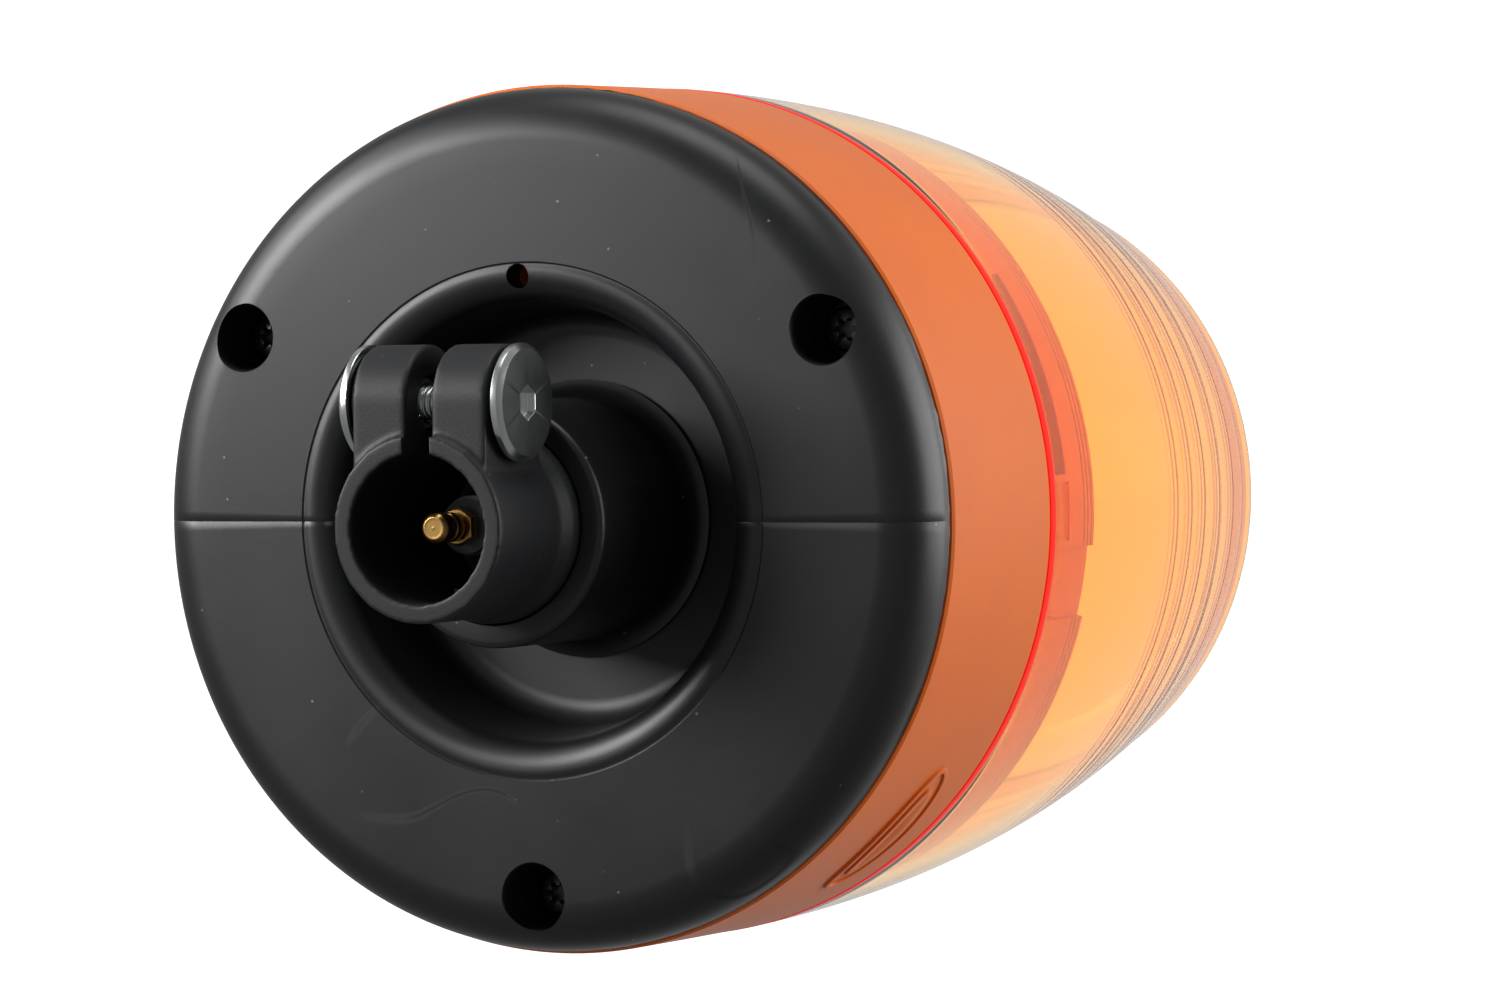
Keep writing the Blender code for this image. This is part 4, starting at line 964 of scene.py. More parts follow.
chassis_screw_places = []
for number in (1, 2, 3):
    low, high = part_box(f"chassis_screw_{number}")
    chassis_screw_places.append(((low.x + high.x) / 2, (low.y + high.y) / 2))
for place in chassis_screw_places:
    boolean(housing, post("post", place, 4.5 * mm, floor_z + 1 * mm, 67.7 * mm), "UNION")
for place in screw_places:
    boolean(housing, post("post", place, 5.5 * mm, floor_z + 1 * mm, 74 * mm), "UNION")
for place in chassis_screw_places:
    boolean(housing, hole("thread_hole", place, 1.8 * mm, 61 * mm, 68 * mm), "DIFFERENCE")
for place in screw_places:
    boolean(housing, hole("thread_hole", place, 2.8 * mm, floor_z - 1 * mm, 71.5 * mm), "DIFFERENCE")
spigot_ends = (sleeve[1] + 0.2 * mm, floor_z + 0.5 * mm)
spigot = hole("drain_spigot", drain_at, sleeve[0] - 0.1 * mm, *spigot_ends, 40)
boolean(housing, spigot, "UNION")
boolean(housing, hole("drain_hole", drain_at, drain_r, sleeve[1] - 1 * mm, 62 * mm, 40), "DIFFERENCE")


track_r = collar_r - 1.2 * mm


def track_cutter(name, start, span, low, high):
    """A curved cutter for a recess in the collar's outside, from one angle in degrees over a span."""
    steps = 10
    outline = [(collar_r + 0.5 * mm, high), (collar_r + 0.5 * mm, low), (track_r, low), (track_r, high)]
    bpy.ops.object.select_all(action="DESELECT")
    bpy.ops.mesh.primitive_plane_add(size=mm)
    piece = name_it(name)
    bpy.ops.object.mode_set(mode="EDIT")
    bpy.ops.mesh.select_mode(type="VERT")
    bpy.ops.mesh.merge(type="CENTER")
    bpy.ops.transform.translate(value=(outline[0][0], 0, outline[0][1]))
    for here, there in zip(outline, [*outline[1:], outline[0]]):
        move = (there[0] - here[0], 0, there[1] - here[1])
        bpy.ops.mesh.extrude_region_move(TRANSFORM_OT_translate={"value": move})
    bpy.ops.mesh.select_all(action="SELECT")
    bpy.ops.mesh.remove_doubles(threshold=0.002 * mm)
    bpy.ops.mesh.edge_face_add()
    bpy.ops.mesh.spin(steps=steps, angle=math.radians(span), center=(0, 0, 0), axis=(0, 0, 1))
    bpy.ops.mesh.select_all(action="SELECT")
    bpy.ops.mesh.normals_make_consistent(inside=False)
    bpy.ops.object.mode_set(mode="OBJECT")
    piece.rotation_euler = (0, 0, math.radians(start))
    return place_mesh(piece)


lug_half = 4
lens_twist = 20
lug_low, lug_high = 97 * mm, 100 * mm
for middle in (60, 180, 300):
    start = middle - lug_half - 1
    run_span = 2 * lug_half + lens_twist + 1.5
    run = track_cutter("slot_run", start, run_span, lug_low - 0.6 * mm, lug_high + 0.6 * mm)
    boolean(housing, run, "DIFFERENCE")
    way_out_ends = (lug_low, collar_top_z + 1 * mm)
    way_out = track_cutter("slot_way_out", start + lens_twist, 2 * lug_half + 2, *way_out_ends)
    boolean(housing, way_out, "DIFFERENCE")

# The oval boss: a flat ring and a raised centre wrapped on the band, where a maker would put a badge.
boss_turn = math.radians(227)
boss_z = 73.5 * mm


def oval_pad(name, half_long, half_high, thickness, band):
    """An oval disc bent round the band. With band it is a ring that wide, else a full pad."""
    bpy.ops.object.select_all(action="DESELECT")
    bpy.ops.mesh.primitive_circle_add(vertices=96, radius=1, fill_type="NGON")
    piece = name_it(name)
    bpy.ops.object.mode_set(mode="EDIT")
    bpy.ops.transform.resize(value=(half_long, half_high, 1))
    bpy.ops.mesh.inset(thickness=band, depth=0)
    if name == "oval_rim":
        bpy.ops.mesh.delete(type="FACE")
    else:
        bpy.ops.mesh.inset(thickness=half_high * 0.3, depth=0)
    bpy.ops.mesh.select_all(action="SELECT")
    bpy.ops.mesh.extrude_region_move(TRANSFORM_OT_translate={"value": (0, 0, thickness)})
    bpy.ops.mesh.select_all(action="SELECT")
    bpy.ops.mesh.normals_make_consistent(inside=False)
    bpy.ops.object.mode_set(mode="OBJECT")
    round_edges(piece, 0.18 * mm, 2)
    for corner in piece.data.vertices:
        along, up, out = corner.co
        turn = boss_turn + along / band_r
        radius = band_r - 0.9 * mm + out
        corner.co = (radius * math.cos(turn), radius * math.sin(turn), boss_z + up)
    take(piece)
    bpy.ops.object.mode_set(mode="EDIT")
    bpy.ops.mesh.select_all(action="SELECT")
    bpy.ops.mesh.normals_make_consistent(inside=False)
    bpy.ops.object.mode_set(mode="OBJECT")
    return piece


boolean(housing, oval_pad("oval_rim", 15.5 * mm, 6.6 * mm, 1.15 * mm, 1.1 * mm), "UNION")
boolean(housing, oval_pad("oval_centre", 11 * mm, 3.2 * mm, 1.1 * mm, 0.6 * mm), "UNION")
# The cuts leave a few split points, which are merged so that the moulding is closed.
take(housing)
bpy.ops.object.mode_set(mode="EDIT")
bpy.ops.mesh.select_all(action="SELECT")
bpy.ops.mesh.remove_doubles(threshold=0.002 * mm)
bpy.ops.mesh.dissolve_degenerate(threshold=0.002 * mm)
bpy.ops.mesh.select_all(action="SELECT")
bpy.ops.mesh.fill_holes(sides=0)
bpy.ops.object.mode_set(mode="OBJECT")
smooth(housing, 32)
set_in_frame(housing, satin, "head", "housing")
frame["nodes"]["lens_seal"].data.materials.clear()
frame["nodes"]["lens_seal"].data.materials.append(rubber)

# ---------------------------------------------------------------- lens
# Clear amber polycarbonate, one deep dome with a wall of 2.5 mm. Five fine rings are cut round it
# below the shoulder, only 0.04 mm deep, with a red-brown painted shade along them, and a darker
# band of painted shade is tinted round the shoulder. Its rim is painted red and given a faint
# painted glow, in place of the red light that thick amber shows edge on. Three lugs inside it fit
# the bayonet.
amber, tree, shader = new_finish(
    "amber_polycarbonate", Roughness=0.02, IOR=1.27, Transmission_Weight=1.0
)
waves = add_node(tree, "ShaderNodeTexNoise", {"Scale": 22.0, "Detail": 0.0})
flow = add_node(tree, "ShaderNodeBump", {"Distance": 0.05 * mm})
tree.links.new(object_coordinates(tree), waves.inputs["Vector"])
tree.links.new(waves.outputs["Fac"], flow.inputs["Height"])
tree.links.new(flow.outputs["Normal"], shader.inputs["Normal"])
heights = add_node(tree, "ShaderNodeSeparateXYZ")
tree.links.new(object_coordinates(tree), heights.inputs["Vector"])
height = heights.outputs["Z"]
# Painted glow: the amber is painted red for its last 3 mm above the rim, in place of the red light that
# thick amber shows edge on.
rim_glow_band = add_node(tree, "ShaderNodeMapRange", {"From Min": 0.0905, "From Max": 0.0935, **fading})
# Painted shade: a darker brown amber band from 205 to 224 mm up stands in for the darker look of the
# thick curved shoulder.
shoulder_shade_band = add_node(tree, "ShaderNodeMath", {1: 0.2145, 2: 0.0095}, operation="COMPARE")
tree.links.new(height, rim_glow_band.inputs["Value"])
tree.links.new(height, shoulder_shade_band.inputs[0])
groove_heights = (157.3 * mm, 167.4 * mm, 177.6 * mm, 190.5 * mm, 204 * mm)
# This mask marks the five rings for a painted shade and a rougher surface.
groove_shade_mask = None
for groove_z in groove_heights:
    here = add_node(tree, "ShaderNodeMath", {1: groove_z, 2: 0.55 * mm}, operation="COMPARE")
    tree.links.new(height, here.inputs[0])
    if groove_shade_mask:
        either = add_node(tree, "ShaderNodeMath", operation="MAXIMUM")
        tree.links.new(groove_shade_mask, either.inputs[0])
        tree.links.new(here.outputs[0], either.inputs[1])
        groove_shade_mask = either.outputs[0]
    else:
        groove_shade_mask = here.outputs[0]
# Of these colours the second is the painted rim glow and the third the painted shoulder shade.
AMBER, RIM_GLOW_RED, SHOULDER_PAINTED_SHADE = (1.0, 0.58, 0.19, 1), (0.95, 0.16, 0.03, 1), (0.8, 0.33, 0.11, 1)
mixed = blend_colours(tree, rim_glow_band.outputs["Result"], AMBER, RIM_GLOW_RED, shader)
mixed = blend_colours(tree, shoulder_shade_band.outputs[0], mixed, SHOULDER_PAINTED_SHADE, shader)
# Painted shade: a red-brown tint along the five rings stands in for the shade of a cut groove; the
# grooves are only 0.04 mm deep.
blend_colours(tree, groove_shade_mask, mixed, (0.85, 0.26, 0.16, 1), shader)
spread(tree, groove_shade_mask, shader.inputs["Roughness"], 0.02, 0.3)
# Painted glow: the rim's faces are painted red and give off a faint red light of their own, in place of
# the red light that thick amber shows edge on.
rim_glow_paint, tree, shader = new_finish("lens_rim_glow_paint", Roughness=0.4, IOR=1.15)
shader.inputs["Emission Color"].default_value = (1, 0.008, 0.0, 1)
shader.inputs["Emission Strength"].default_value = 0.3
grain = add_grain(tree, shader, 500, 0.004 * mm)
blend_colours(tree, grain.outputs["Mottle"], (0.78, 0.004, 0.0, 1), (0.9, 0.008, 0.0, 1), shader)

lens_low, lens_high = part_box("lens_dome")
lens_r = lens_high.x
lens_wall = 2.5 * mm
rim_z = lens_low.z
shoulder_z = 220 * mm
shoulder_r = 14.5 * mm
lens_taper = 14 * mm


def lens_radius(height):
    return lens_r - lens_taper * ((height - rim_z) / (shoulder_z - rim_z)) ** 2.1


side_heights = [shoulder_z - (shoulder_z - rim_z - 3 * mm) * step / 44 for step in range(45)]
outer_side = [(lens_radius(z), z) for z in side_heights]
for groove_z in groove_heights:
    outer_side = [point for point in outer_side if abs(point[1] - groove_z) > 1.2 * mm]
    depth = 0.04 * mm
    for drop, deep in ((0.7, 0), (0.35, 0.7), (0, 1), (-0.35, 0.7), (-0.7, 0)):
        z = groove_z + drop * mm
        outer_side.append((lens_radius(z) - deep * depth, z))
outer_side.sort(key=lambda point: -point[1])
shoulder = (lens_radius(shoulder_z) - shoulder_r, shoulder_z)
crown_top = lens_high.z
outer_cap = arc(shoulder, shoulder_r, 89, 2, 18)
cap_rise = crown_top - outer_cap[0][1]
crown = [
    (outer_cap[0][0] * step / 10, crown_top - cap_rise * (step / 10) ** 2) for step in range(10)
]
inner_cap = arc(shoulder, shoulder_r - lens_wall, 0, 89, 16)
inner_crown = [(radius, height - lens_wall) for radius, height in reversed(crown)]
inner_side = [(lens_radius(z) - lens_wall, z) for z in reversed(side_heights[1:])]
lens_outline = [
    *crown,
    *outer_cap,
    *outer_side,
    (lens_r - 0.1 * mm, rim_z + 2.5 * mm),
    (lens_r, rim_z + 2.2 * mm),
    (lens_r, rim_z + 0.2 * mm),
    (lens_r - 0.2 * mm, rim_z),
    (lens_r - lens_wall, rim_z),
    *inner_side,
    *inner_cap,
    *inner_crown,
]
lens = turn_on_lathe("lens_moulding", lens_outline, 200, closed=False)


def lug(name, middle):
    """A short curved block inside the lens's rim."""
    bpy.ops.object.select_all(action="DESELECT")
    inner, outer = track_r + 0.2 * mm, lens_r - lens_wall + 1 * mm
    bpy.ops.mesh.primitive_cube_add(size=1, location=((inner + outer) / 2, 0, (lug_low + lug_high) / 2))
    piece = name_it(name)
    piece.scale = (outer - inner, 2 * lug_half * math.pi / 180 * inner, lug_high - lug_low)
    place_mesh(piece)
    round_edges(piece, 0.4 * mm, 3)
    piece.rotation_euler = (0, 0, math.radians(middle))
    return place_mesh(piece)


for middle in (60, 180, 300):
    boolean(lens, lug("lug", middle), "UNION")
lens.data.materials.append(amber)
lens.data.materials.append(rim_glow_paint)
# The faces at the rim take the red painted-glow finish.
for face in lens.data.polygons:
    middle = sum((lens.data.vertices[i].co for i in face.vertices), Vector()) / len(face.vertices)
    if middle.z < rim_z + 2.3 * mm and math.hypot(middle.x, middle.y) > lens_r - lens_wall - 0.2 * mm:
        face.material_index = 1
smooth(lens, 40)
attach(lens, "lens")
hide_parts("lens_dome")

# ---------------------------------------------------------------- chassis plate
# Pressed steel plate, zinc plated, with a rounded edge and three pillars for the circuit board. Three
# screws hold it on the housing's posts, and it carries everything that works inside the lens.


def turned_piece(name, node, outline, finish, slot, body, steps=48, closed=True, at=(0, 0), width=0.15):
    """A lathe piece that stands for a CAD node: its edges rounded, finished, and riding on its body."""
    piece = turn_on_lathe(name, outline, steps, closed=closed, at=at)
    smooth(round_edges(piece, width * mm, 2, 40))
    return stands_for(piece, node, finish, body)


def stands_for(piece, node, finish, body):
    set_in_frame(piece, finish, body, node)
    return piece


def tube_outline_of(inner, outer, low, high):
    return [(outer, high), (outer, low), (inner, low), (inner, high)]


plate_low, plate_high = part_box("chassis_plate")
plate_top_z = plate_low.z + 2 * mm
plate_outline = tube_outline_of(6 * mm, plate_high.x, plate_low.z, plate_top_z)
plate = turn_on_lathe("chassis_plate_pressed", plate_outline, 160)
round_edges(plate, 0.4 * mm, 3)
for x, y in ((50, 13), (50, -13), (20, 13)):
    pillar = post("pillar", (x * mm, y * mm), 2.2 * mm, plate_top_z - 1 * mm, plate_high.z, 24)
    boolean(plate, pillar, "UNION")
hole_list = [(27 * mm, 8 * mm, 4 * mm), (27 * mm, -7 * mm, 4 * mm), (36 * mm, -14 * mm, 4 * mm)]
hole_list += [(x, y, 2.3 * mm) for x, y in chassis_screw_places]
hole_list += [(0, y * mm, 1.6 * mm) for y in (-13, 13)]
hole_list += [(-36 * mm, y * mm, 1.6 * mm) for y in (-7, 7)]
for x, y, radius in hole_list:
    tool = hole("plate_hole", (x, y), radius, plate_low.z - 1 * mm, plate_top_z + 1 * mm)
    boolean(plate, tool, "DIFFERENCE")
stands_for(smooth(plate, 32), "chassis_plate", zinc, "head")

# ---------------------------------------------------------------- lamp
# A hollow grey pedestal carries a halogen bulb, held by a wire clip. The bulb has a plated base, a
# clear glass envelope with a round end, and a coiled filament on two supports.
pedestal_low, pedestal_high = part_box("lamp_pedestal")
flange_top_z = pedestal_low.z + 2.7 * mm
pedestal_outline = [
    (9 * mm, pedestal_high.z),
    (9 * mm, 87.7 * mm),
    (10.5 * mm, 87.7 * mm),
    (10.5 * mm, flange_top_z + 2.3 * mm),
    (9.8 * mm, flange_top_z + 0.6 * mm),
    (9.8 * mm, flange_top_z),
    (15.8 * mm, flange_top_z),
    (15.8 * mm, pedestal_low.z),
    (4.5 * mm, pedestal_low.z),
    (4.5 * mm, pedestal_high.z),
]
pedestal = turn_on_lathe("lamp_pedestal_moulding", pedestal_outline, 96)
round_edges(pedestal, 0.25 * mm, 2, 40)
for y in (-13 * mm, 13 * mm):
    screw_hole = hole("pedestal_hole", (0, y), 1.5 * mm, pedestal_low.z - 1 * mm, flange_top_z + 1 * mm)
    boolean(pedestal, screw_hole, "DIFFERENCE")
stands_for(smooth(pedestal), "lamp_pedestal", grey_plastic, "head")

base_low, base_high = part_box("bulb_base")
base_flange_z = pedestal_high.z + 0.3 * mm
base_outline = [
    (0, base_high.z),
    (4.3 * mm, base_high.z),
    (4.6 * mm, base_high.z - 0.3 * mm),
    (4.6 * mm, base_high.z - 2.4 * mm),
    (4.3 * mm, base_high.z - 2.7 * mm),
    (4.6 * mm, base_high.z - 3 * mm),
    (4.6 * mm, base_flange_z + 2 * mm),
    (7 * mm, base_flange_z + 2 * mm),
    (7 * mm, base_flange_z),
    (3.5 * mm, base_flange_z),
    (3.5 * mm, base_low.z),
    (0, base_low.z),
]
turned_piece("bulb_base_turned", "bulb_base", base_outline, zinc, "zinc", "head", 64, closed=False)

clear_glass, tree, shader = new_finish(
    "clear_glass", Base_Color=(0.98, 0.98, 0.98, 1), Roughness=0.01, IOR=1.47, Transmission_Weight=1.0
)
add_grain(tree, shader, 120, 0.01 * mm)
glass_low, glass_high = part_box("bulb_glass")
glass_r = glass_high.x
glass_wall = 0.9 * mm
crown_z = glass_high.z - glass_r
glass_outline = [
    *arc((0, crown_z), glass_r, 90, 0, 16),
    (glass_r, glass_low.z),
    (glass_r - glass_wall, glass_low.z),
    *arc((0, crown_z), glass_r - glass_wall, 0, 90, 14),
]
glass = turn_on_lathe("bulb_glass_blown", glass_outline, 72, closed=False)
stands_for(smooth(glass), "bulb_glass", clear_glass, "head")

filament_low, filament_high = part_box("bulb_filament")
filament_x = filament_high.x - 0.3 * mm
light_z = 142 * mm
coil = coil_spring("bulb_filament_coil", 0.6 * mm, 0.12 * mm, -filament_x, filament_x, 9)
coil.rotation_euler = (0, math.pi / 2, 0)
coil.location = (0, 0, light_z)
place_mesh(coil)
for side in (-1, 1):
    place = (side * filament_x, 0.6 * mm)
    outline = [(0, light_z), (0.22 * mm, light_z), (0.22 * mm, filament_low.z), (0, filament_low.z)]
    boolean(coil, turn_on_lathe("filament_support", outline, 12, closed=False, at=place), "UNION")
stands_for(smooth(coil, 50), "bulb_filament", dark_steel, "head")

# ---------------------------------------------------------------- motor
# A small can motor with a plastic end cap, screwed to the chassis from below. Its armature, shaft and
# pinion turn together in a brass bush.
copper, tree, shader = new_finish("enamelled_copper", Metallic=1.0, Roughness=0.34)
winding = add_node(tree, "ShaderNodeTexWave", {"Scale": 420.0, "Distortion": 1.2}, bands_direction="Z")
tree.links.new(object_coordinates(tree), winding.inputs["Vector"])
blend_colours(tree, winding.outputs["Fac"], srgb(120, 58, 34), srgb(206, 124, 84), shader)
spread(tree, winding.outputs["Fac"], shader.inputs["Roughness"], 0.25, 0.45)

motor_at = (-36 * mm, 0)
motor_r = 12 * mm
shaft_hole_r = 1.8 * mm
cap_low, cap_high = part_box("motor_end_cap")
cap_outline = tube_outline_of(shaft_hole_r, motor_r, cap_low.z, cap_high.z)
cap = turn_on_lathe("motor_end_cap_moulding", cap_outline, 64, at=motor_at)
round_edges(cap, 0.3 * mm, 2)
for y in (-7 * mm, 7 * mm):
    ends = (cap_low.z - 1 * mm, cap_low.z + 2.2 * mm)
    boolean(cap, hole("cap_hole", (motor_at[0], y), 1.5 * mm, *ends), "DIFFERENCE")
stands_for(smooth(cap), "motor_end_cap", grey_plastic, "head")
case_low, case_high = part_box("motor_case")
case_outline = [
    (motor_r - 0.8 * mm, case_high.z),
    (motor_r - 0.2 * mm, case_high.z - 0.25 * mm),
    (motor_r, case_high.z - 0.9 * mm),
    (motor_r, case_low.z + 2.5 * mm),
    (motor_r - 0.3 * mm, case_low.z + 2.2 * mm),
    (motor_r - 0.3 * mm, case_low.z + 1.7 * mm),
    (motor_r, case_low.z + 1.4 * mm),
    (motor_r, case_low.z),
    (motor_r - 1 * mm, case_low.z),
    (motor_r - 1 * mm, case_high.z - 1 * mm),
    (4.3 * mm, case_high.z - 1 * mm),
    (4.3 * mm, case_high.z),
]
turned_piece(
    "motor_case_drawn", "motor_case", case_outline, zinc, "zinc", "head", 80, at=motor_at, width=0.1
)
for name, node, radii, finish, slot, body in (
    ("motor_bush_turned", "motor_bush", (shaft_hole_r, 4 * mm), brass, "brass", "head"),
    ("motor_armature_wound", "motor_armature", (shaft_hole_r, 8 * mm), copper, "copper", "armature"),
):
    low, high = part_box(node)
    outline = tube_outline_of(*radii, low.z, high.z)
    turned_piece(name, node, outline, finish, slot, body, at=motor_at, width=0.3)
shaft_low, shaft_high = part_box("motor_shaft")
shaft_outline = [(0, shaft_high.z), (1.5 * mm, shaft_high.z), (1.5 * mm, shaft_low.z), (0, shaft_low.z)]
shaft_look = ("motor_shaft_ground", "motor_shaft", shaft_outline, zinc, "zinc", "armature")
turned_piece(*shaft_look, 32, closed=False, at=motor_at, width=0.2)

# ---------------------------------------------------------------- circuit board
# Green glass-fibre board on three pillars, with a capacitor and a wound choke that keep the motor from
# disturbing a radio, and tinned pads where the leads are soldered.
board_green, tree, shader = new_finish("circuit_board_green", Roughness=0.38)
grain = add_grain(tree, shader, 900, 0.01 * mm)
track_settings = {"Scale": 95.0, "Mortar Size": 0.05, "Mortar Smooth": 0.2}
tracks = add_node(tree, "ShaderNodeTexBrick", track_settings)
tree.links.new(object_coordinates(tree), tracks.inputs["Vector"])
blend_colours(tree, tracks.outputs["Fac"], srgb(18, 84, 46), srgb(40, 122, 66), shader)
spread(tree, grain.outputs["Mottle"], shader.inputs["Roughness"], 0.3, 0.5)

board_low, board_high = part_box("circuit_board")
board = round_edges(block("circuit_board_cut", board_low, board_high), 0.25 * mm, 2)
for x, y in ((50, 13), (50, -13), (20, 13), (30, -12), (24, 2)):
    pad_ends = (board_high.z - 0.4 * mm, board_high.z + 0.25 * mm)
    pad = post("solder_pad", (x * mm, y * mm), 1.4 * mm, *pad_ends, 20)
    boolean(board, pad, "UNION")
stands_for(smooth(board), "circuit_board", board_green, "head")

capacitor_low, capacitor_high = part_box("capacitor")
capacitor_at = (44 * mm, -8 * mm)
can_r = 5 * mm
can_top_z = capacitor_high.z
can_outline = [
    (0, can_top_z - 0.3 * mm),
    (can_r - 1.2 * mm, can_top_z - 0.3 * mm),
    (can_r - 1 * mm, can_top_z),
    (can_r - 0.4 * mm, can_top_z),
    (can_r, can_top_z - 0.5 * mm),
    (can_r, capacitor_low.z + 2.2 * mm),
    (can_r - 0.5 * mm, capacitor_low.z + 1.7 * mm),
    (can_r, capacitor_low.z + 1.2 * mm),
    (can_r, capacitor_low.z),
    (0, capacitor_low.z),
]
can = turn_on_lathe("capacitor_can", can_outline, 56, closed=False, at=capacitor_at)
stands_for(smooth(can, 30), "capacitor", dark_steel, "head")

choke_low, choke_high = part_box("suppressor_choke")
choke_z = (choke_low.z + choke_high.z) / 2
bpy.ops.object.select_all(action="DESELECT")
bpy.ops.mesh.primitive_torus_add(
    major_segments=144,
    minor_segments=16,
    major_radius=4.4 * mm,
    minor_radius=2 * mm,
    location=(44 * mm, 8 * mm, choke_z),
)
choke = place_mesh(name_it("suppressor_choke_wound"))
for corner in choke.data.vertices:
    away = corner.co - Vector((44 * mm, 8 * mm, choke_z))
    turn = math.atan2(away.y, away.x)
    ring_middle = Vector((math.cos(turn), math.sin(turn), 0)) * 4.4 * mm
    section = away - ring_middle
    section *= 0.93 + 0.07 * math.cos(36 * turn)
    section.z *= 1.2
    corner.co = Vector((44 * mm, 8 * mm, choke_z)) + ring_middle + section
stands_for(smooth(choke, 60), "suppressor_choke", copper, "head")

# ---------------------------------------------------------------- gear drive
# White acetal wheel and pinion. The wheel turns on a brass bush round the pedestal, under a spring
# ring, and the reflector is screwed to it.
acetal, tree, shader = new_finish("white_acetal", Roughness=0.35)
grain = add_grain(tree, shader, 1200, 0.01 * mm)
blend_colours(tree, grain.outputs["Mottle"], srgb(212, 210, 200), srgb(238, 236, 228), shader)
spread(tree, grain.outputs["Mottle"], shader.inputs["Roughness"], 0.28, 0.45)
for node, finish in (
    ("ring_gear", acetal),
    ("motor_pinion", acetal),
    ("bulb_clip", zinc),
    ("retaining_ring", dark_steel),
):
    frame["nodes"][node].data.materials.clear()
    frame["nodes"][node].data.materials.append(finish)
bush_low, bush_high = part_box("rotor_bush")
bush_step_z = bush_low.z + 3.2 * mm
bush_outline = [
    (10.9 * mm, bush_high.z),
    (10.9 * mm, bush_step_z),
    (14 * mm, bush_step_z),
    (14 * mm, bush_low.z),
    (9.3 * mm, bush_low.z),
    (9.3 * mm, bush_high.z),
]
turned_piece("rotor_bush_turned", "rotor_bush", bush_outline, brass, "brass", "head", 80)

# ---------------------------------------------------------------- reflector
# Bright metallised parabola with the bulb in its focus. Its collar stands on the gear wheel, and a
# strut joins the two, so that the mirror sweeps the beam round as it turns.
mirror, tree, shader = new_finish("mirror_metallising", Metallic=1.0, Roughness=0.08)
grain = add_grain(tree, shader, 300, 0.003 * mm)
blend_colours(tree, grain.outputs["Mottle"], srgb(222, 224, 226), srgb(240, 241, 242), shader)
spread(tree, grain.outputs["Mottle"], shader.inputs["Roughness"], 0.04, 0.14)

focus = 13 * mm
dish_depth = focus + 14 * mm
rim_r = 2 * math.sqrt(focus * dish_depth)
dish_wall = 1.5 * mm
bowl = [(rim_r * step / 28, (rim_r * step / 28) ** 2 / (4 * focus)) for step in range(29)]
shell = [(r + dish_wall * 0.7, z - dish_wall * 0.7) for r, z in bowl[2:]]
dish_outline = [*bowl, *reversed(shell), (0, -dish_wall)]
dish = turn_on_lathe("reflector_bowl", dish_outline, 144, closed=False)
dish.rotation_euler = (0, math.pi / 2, 0)
dish.location = (-focus, 0, light_z)
place_mesh(dish)
seat_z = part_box("reflector")[0].z
collar_top = 113 * mm
collar_outline = [
    (17.5 * mm, collar_top),
    (17.5 * mm, seat_z + 2 * mm),
    (24 * mm, seat_z + 2 * mm),
    (24 * mm, seat_z),
    (15.5 * mm, seat_z),
    (15.5 * mm, collar_top),
]
collar = round_edges(turn_on_lathe("reflector_collar", collar_outline, 96), 0.3 * mm, 2)
boolean(dish, collar, "UNION")
strut = block("strut", (-17.4 * mm, -5 * mm, 105 * mm), (-13.6 * mm, 5 * mm, light_z + 4 * mm))
boolean(dish, round_edges(strut, 0.6 * mm, 3), "UNION")
boolean(dish, hole("lamp_room", (0, 0), 10.5 * mm, 90 * mm, 125 * mm, 64), "DIFFERENCE")
for y in (-20.5 * mm, 20.5 * mm):
    tool = hole("reflector_hole", (0, y), 1.5 * mm, seat_z - 1 * mm, seat_z + 3 * mm)
    boolean(dish, tool, "DIFFERENCE")
stands_for(smooth(dish, 30), "reflector", mirror, "rotor")

# ---------------------------------------------------------------- leads
# Flexible insulated wires. The red one brings the supply up from the centre contact through the neck,
# the brown one the earth, and two more join the board to the lamp and the motor.


def insulation(name, dark, light):
    """Soft PVC insulation with a faint mottle."""
    finish, tree, shader = new_finish(name, Roughness=0.4)
    grain = add_grain(tree, shader, 1500, 0.01 * mm)
    blend_colours(tree, grain.outputs["Mottle"], dark, light, shader)
    spread(tree, grain.outputs["Mottle"], shader.inputs["Roughness"], 0.32, 0.5)
    return finish


def smooth_route(places, between=8):
    """A Catmull-Rom curve through places in millimetres, as points in metres."""
    places = [Vector(place) * mm for place in places]
    ends = [places[0], *places, places[-1]]
    route = []
    for a, b, c, d in zip(ends, ends[1:], ends[2:], ends[3:]):
        for step in range(between):
            t = step / between
            linear, square = (c - a) * t, (2 * a - 5 * b + 4 * c - d) * t**2
            cube = (3 * b - a - 3 * c + d) * t**3
            route.append(0.5 * (2 * b + linear + square + cube))
    return [*route, places[-1]]


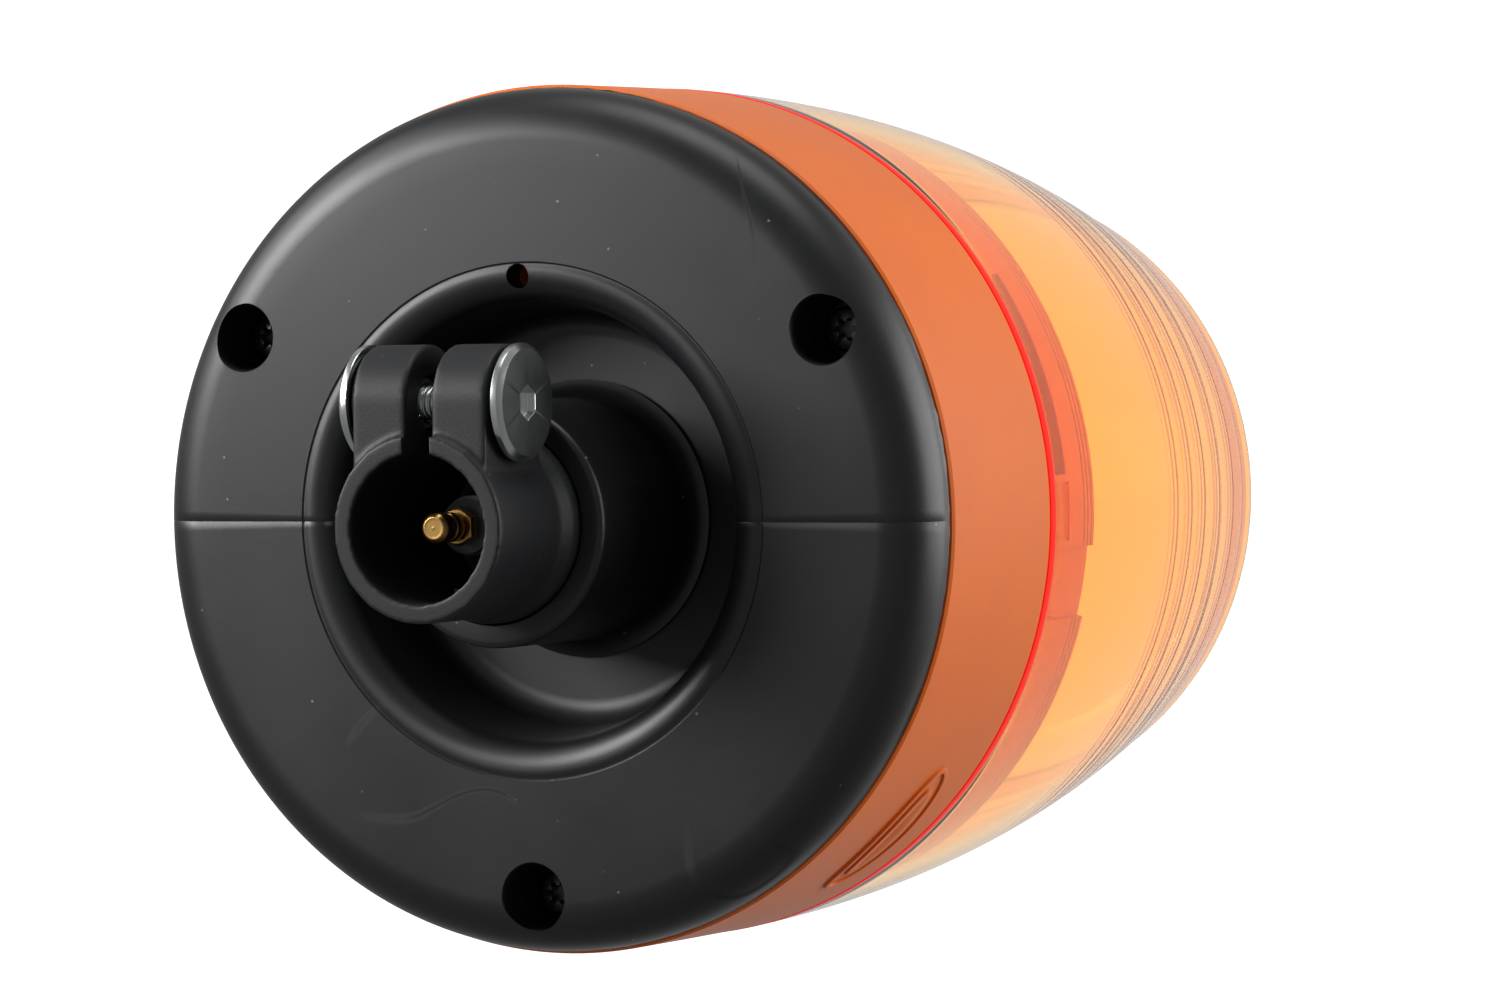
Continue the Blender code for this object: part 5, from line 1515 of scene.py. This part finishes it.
def lead(name, route, radius, finish):
    """A round wire along a route, made a closed mesh."""
    bpy.ops.object.select_all(action="DESELECT")
    bpy.ops.curve.primitive_nurbs_path_add()
    curve = bpy.context.object.data
    curve.splines.clear()
    spline = curve.splines.new("POLY")
    spline.points.add(len(route) - 1)
    for point, place in zip(spline.points, route):
        point.co = (*place, 1)
    curve.bevel_depth = radius
    curve.bevel_resolution = 3
    curve.use_fill_caps = True
    bpy.ops.object.convert(target="MESH")
    piece = name_it(name)
    piece.data.materials.clear()
    piece.data.materials.append(finish)
    bpy.ops.object.mode_set(mode="EDIT")
    bpy.ops.mesh.select_all(action="SELECT")
    bpy.ops.mesh.remove_doubles(threshold=0.002 * mm)
    bpy.ops.mesh.normals_make_consistent(inside=False)
    bpy.ops.object.mode_set(mode="OBJECT")
    return smooth(piece, 50)


red_pvc = insulation("red_insulation", srgb(150, 20, 16), srgb(186, 34, 26))
brown_pvc = insulation("brown_insulation", srgb(72, 40, 24), srgb(96, 56, 34))
supply = [(3.4, 0, 42.2), (3.4, 0, 48), (2, 3, 56), (4, 5, 62)]
supply += [(13, 8, 66.2), (24, 8, 66.2), (28, 8, 69.5), (28, 8, 73.6)]
earth = [(0, -9.6, 42.2), (0, -7, 49), (1, -5, 56), (3, -6, 62)]
earth += [(12, -12, 66.3), (32, -14, 66.2), (37, -14, 69.5), (37, -14, 73.6)]
lamp = [(0, 0, 109.4), (0, 0, 90), (0, 0, 76), (0.6, 0, 70)]
lamp += [(7, -2, 66.2), (23, -7, 66.2), (28, -7, 69.5), (28, -7, 73.6)]
motor = [(24, 10, 72.9), (22, 17, 72.4), (10, 23, 71.6)]
motor += [(-6, 24, 71.5), (-20, 18, 71.5), (-26, 9.4, 71.6)]
for node, places, finish, slot in (
    ("supply_lead", supply, red_pvc, "red_insulation"),
    ("earth_lead", earth, brown_pvc, "brown_insulation"),
):
    route = smooth_route(places)
    below = [point for point in route if point.z < neck_split_z]
    above = [point for point in route if point.z >= neck_split_z]
    last, first = below[-1], above[0]
    crossing = last.lerp(first, (neck_split_z - last.z) / (first.z - last.z))
    lower_lead = lead(f"{node}_lower", [*below, crossing], 0.9 * mm, finish)
    upper_lead = lead(f"{node}_upper", [crossing, *above], 0.9 * mm, finish)
    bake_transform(lower_lead)
    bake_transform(upper_lead)
    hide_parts(node)
    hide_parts(node)
for node, places, radius in (("lamp_lead", lamp, 1.1 * mm), ("motor_lead", motor, 0.8 * mm)):
    wire = lead(f"{node}_wire", smooth_route(places), radius, red_pvc)
    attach(wire, "head")
    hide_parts(node)
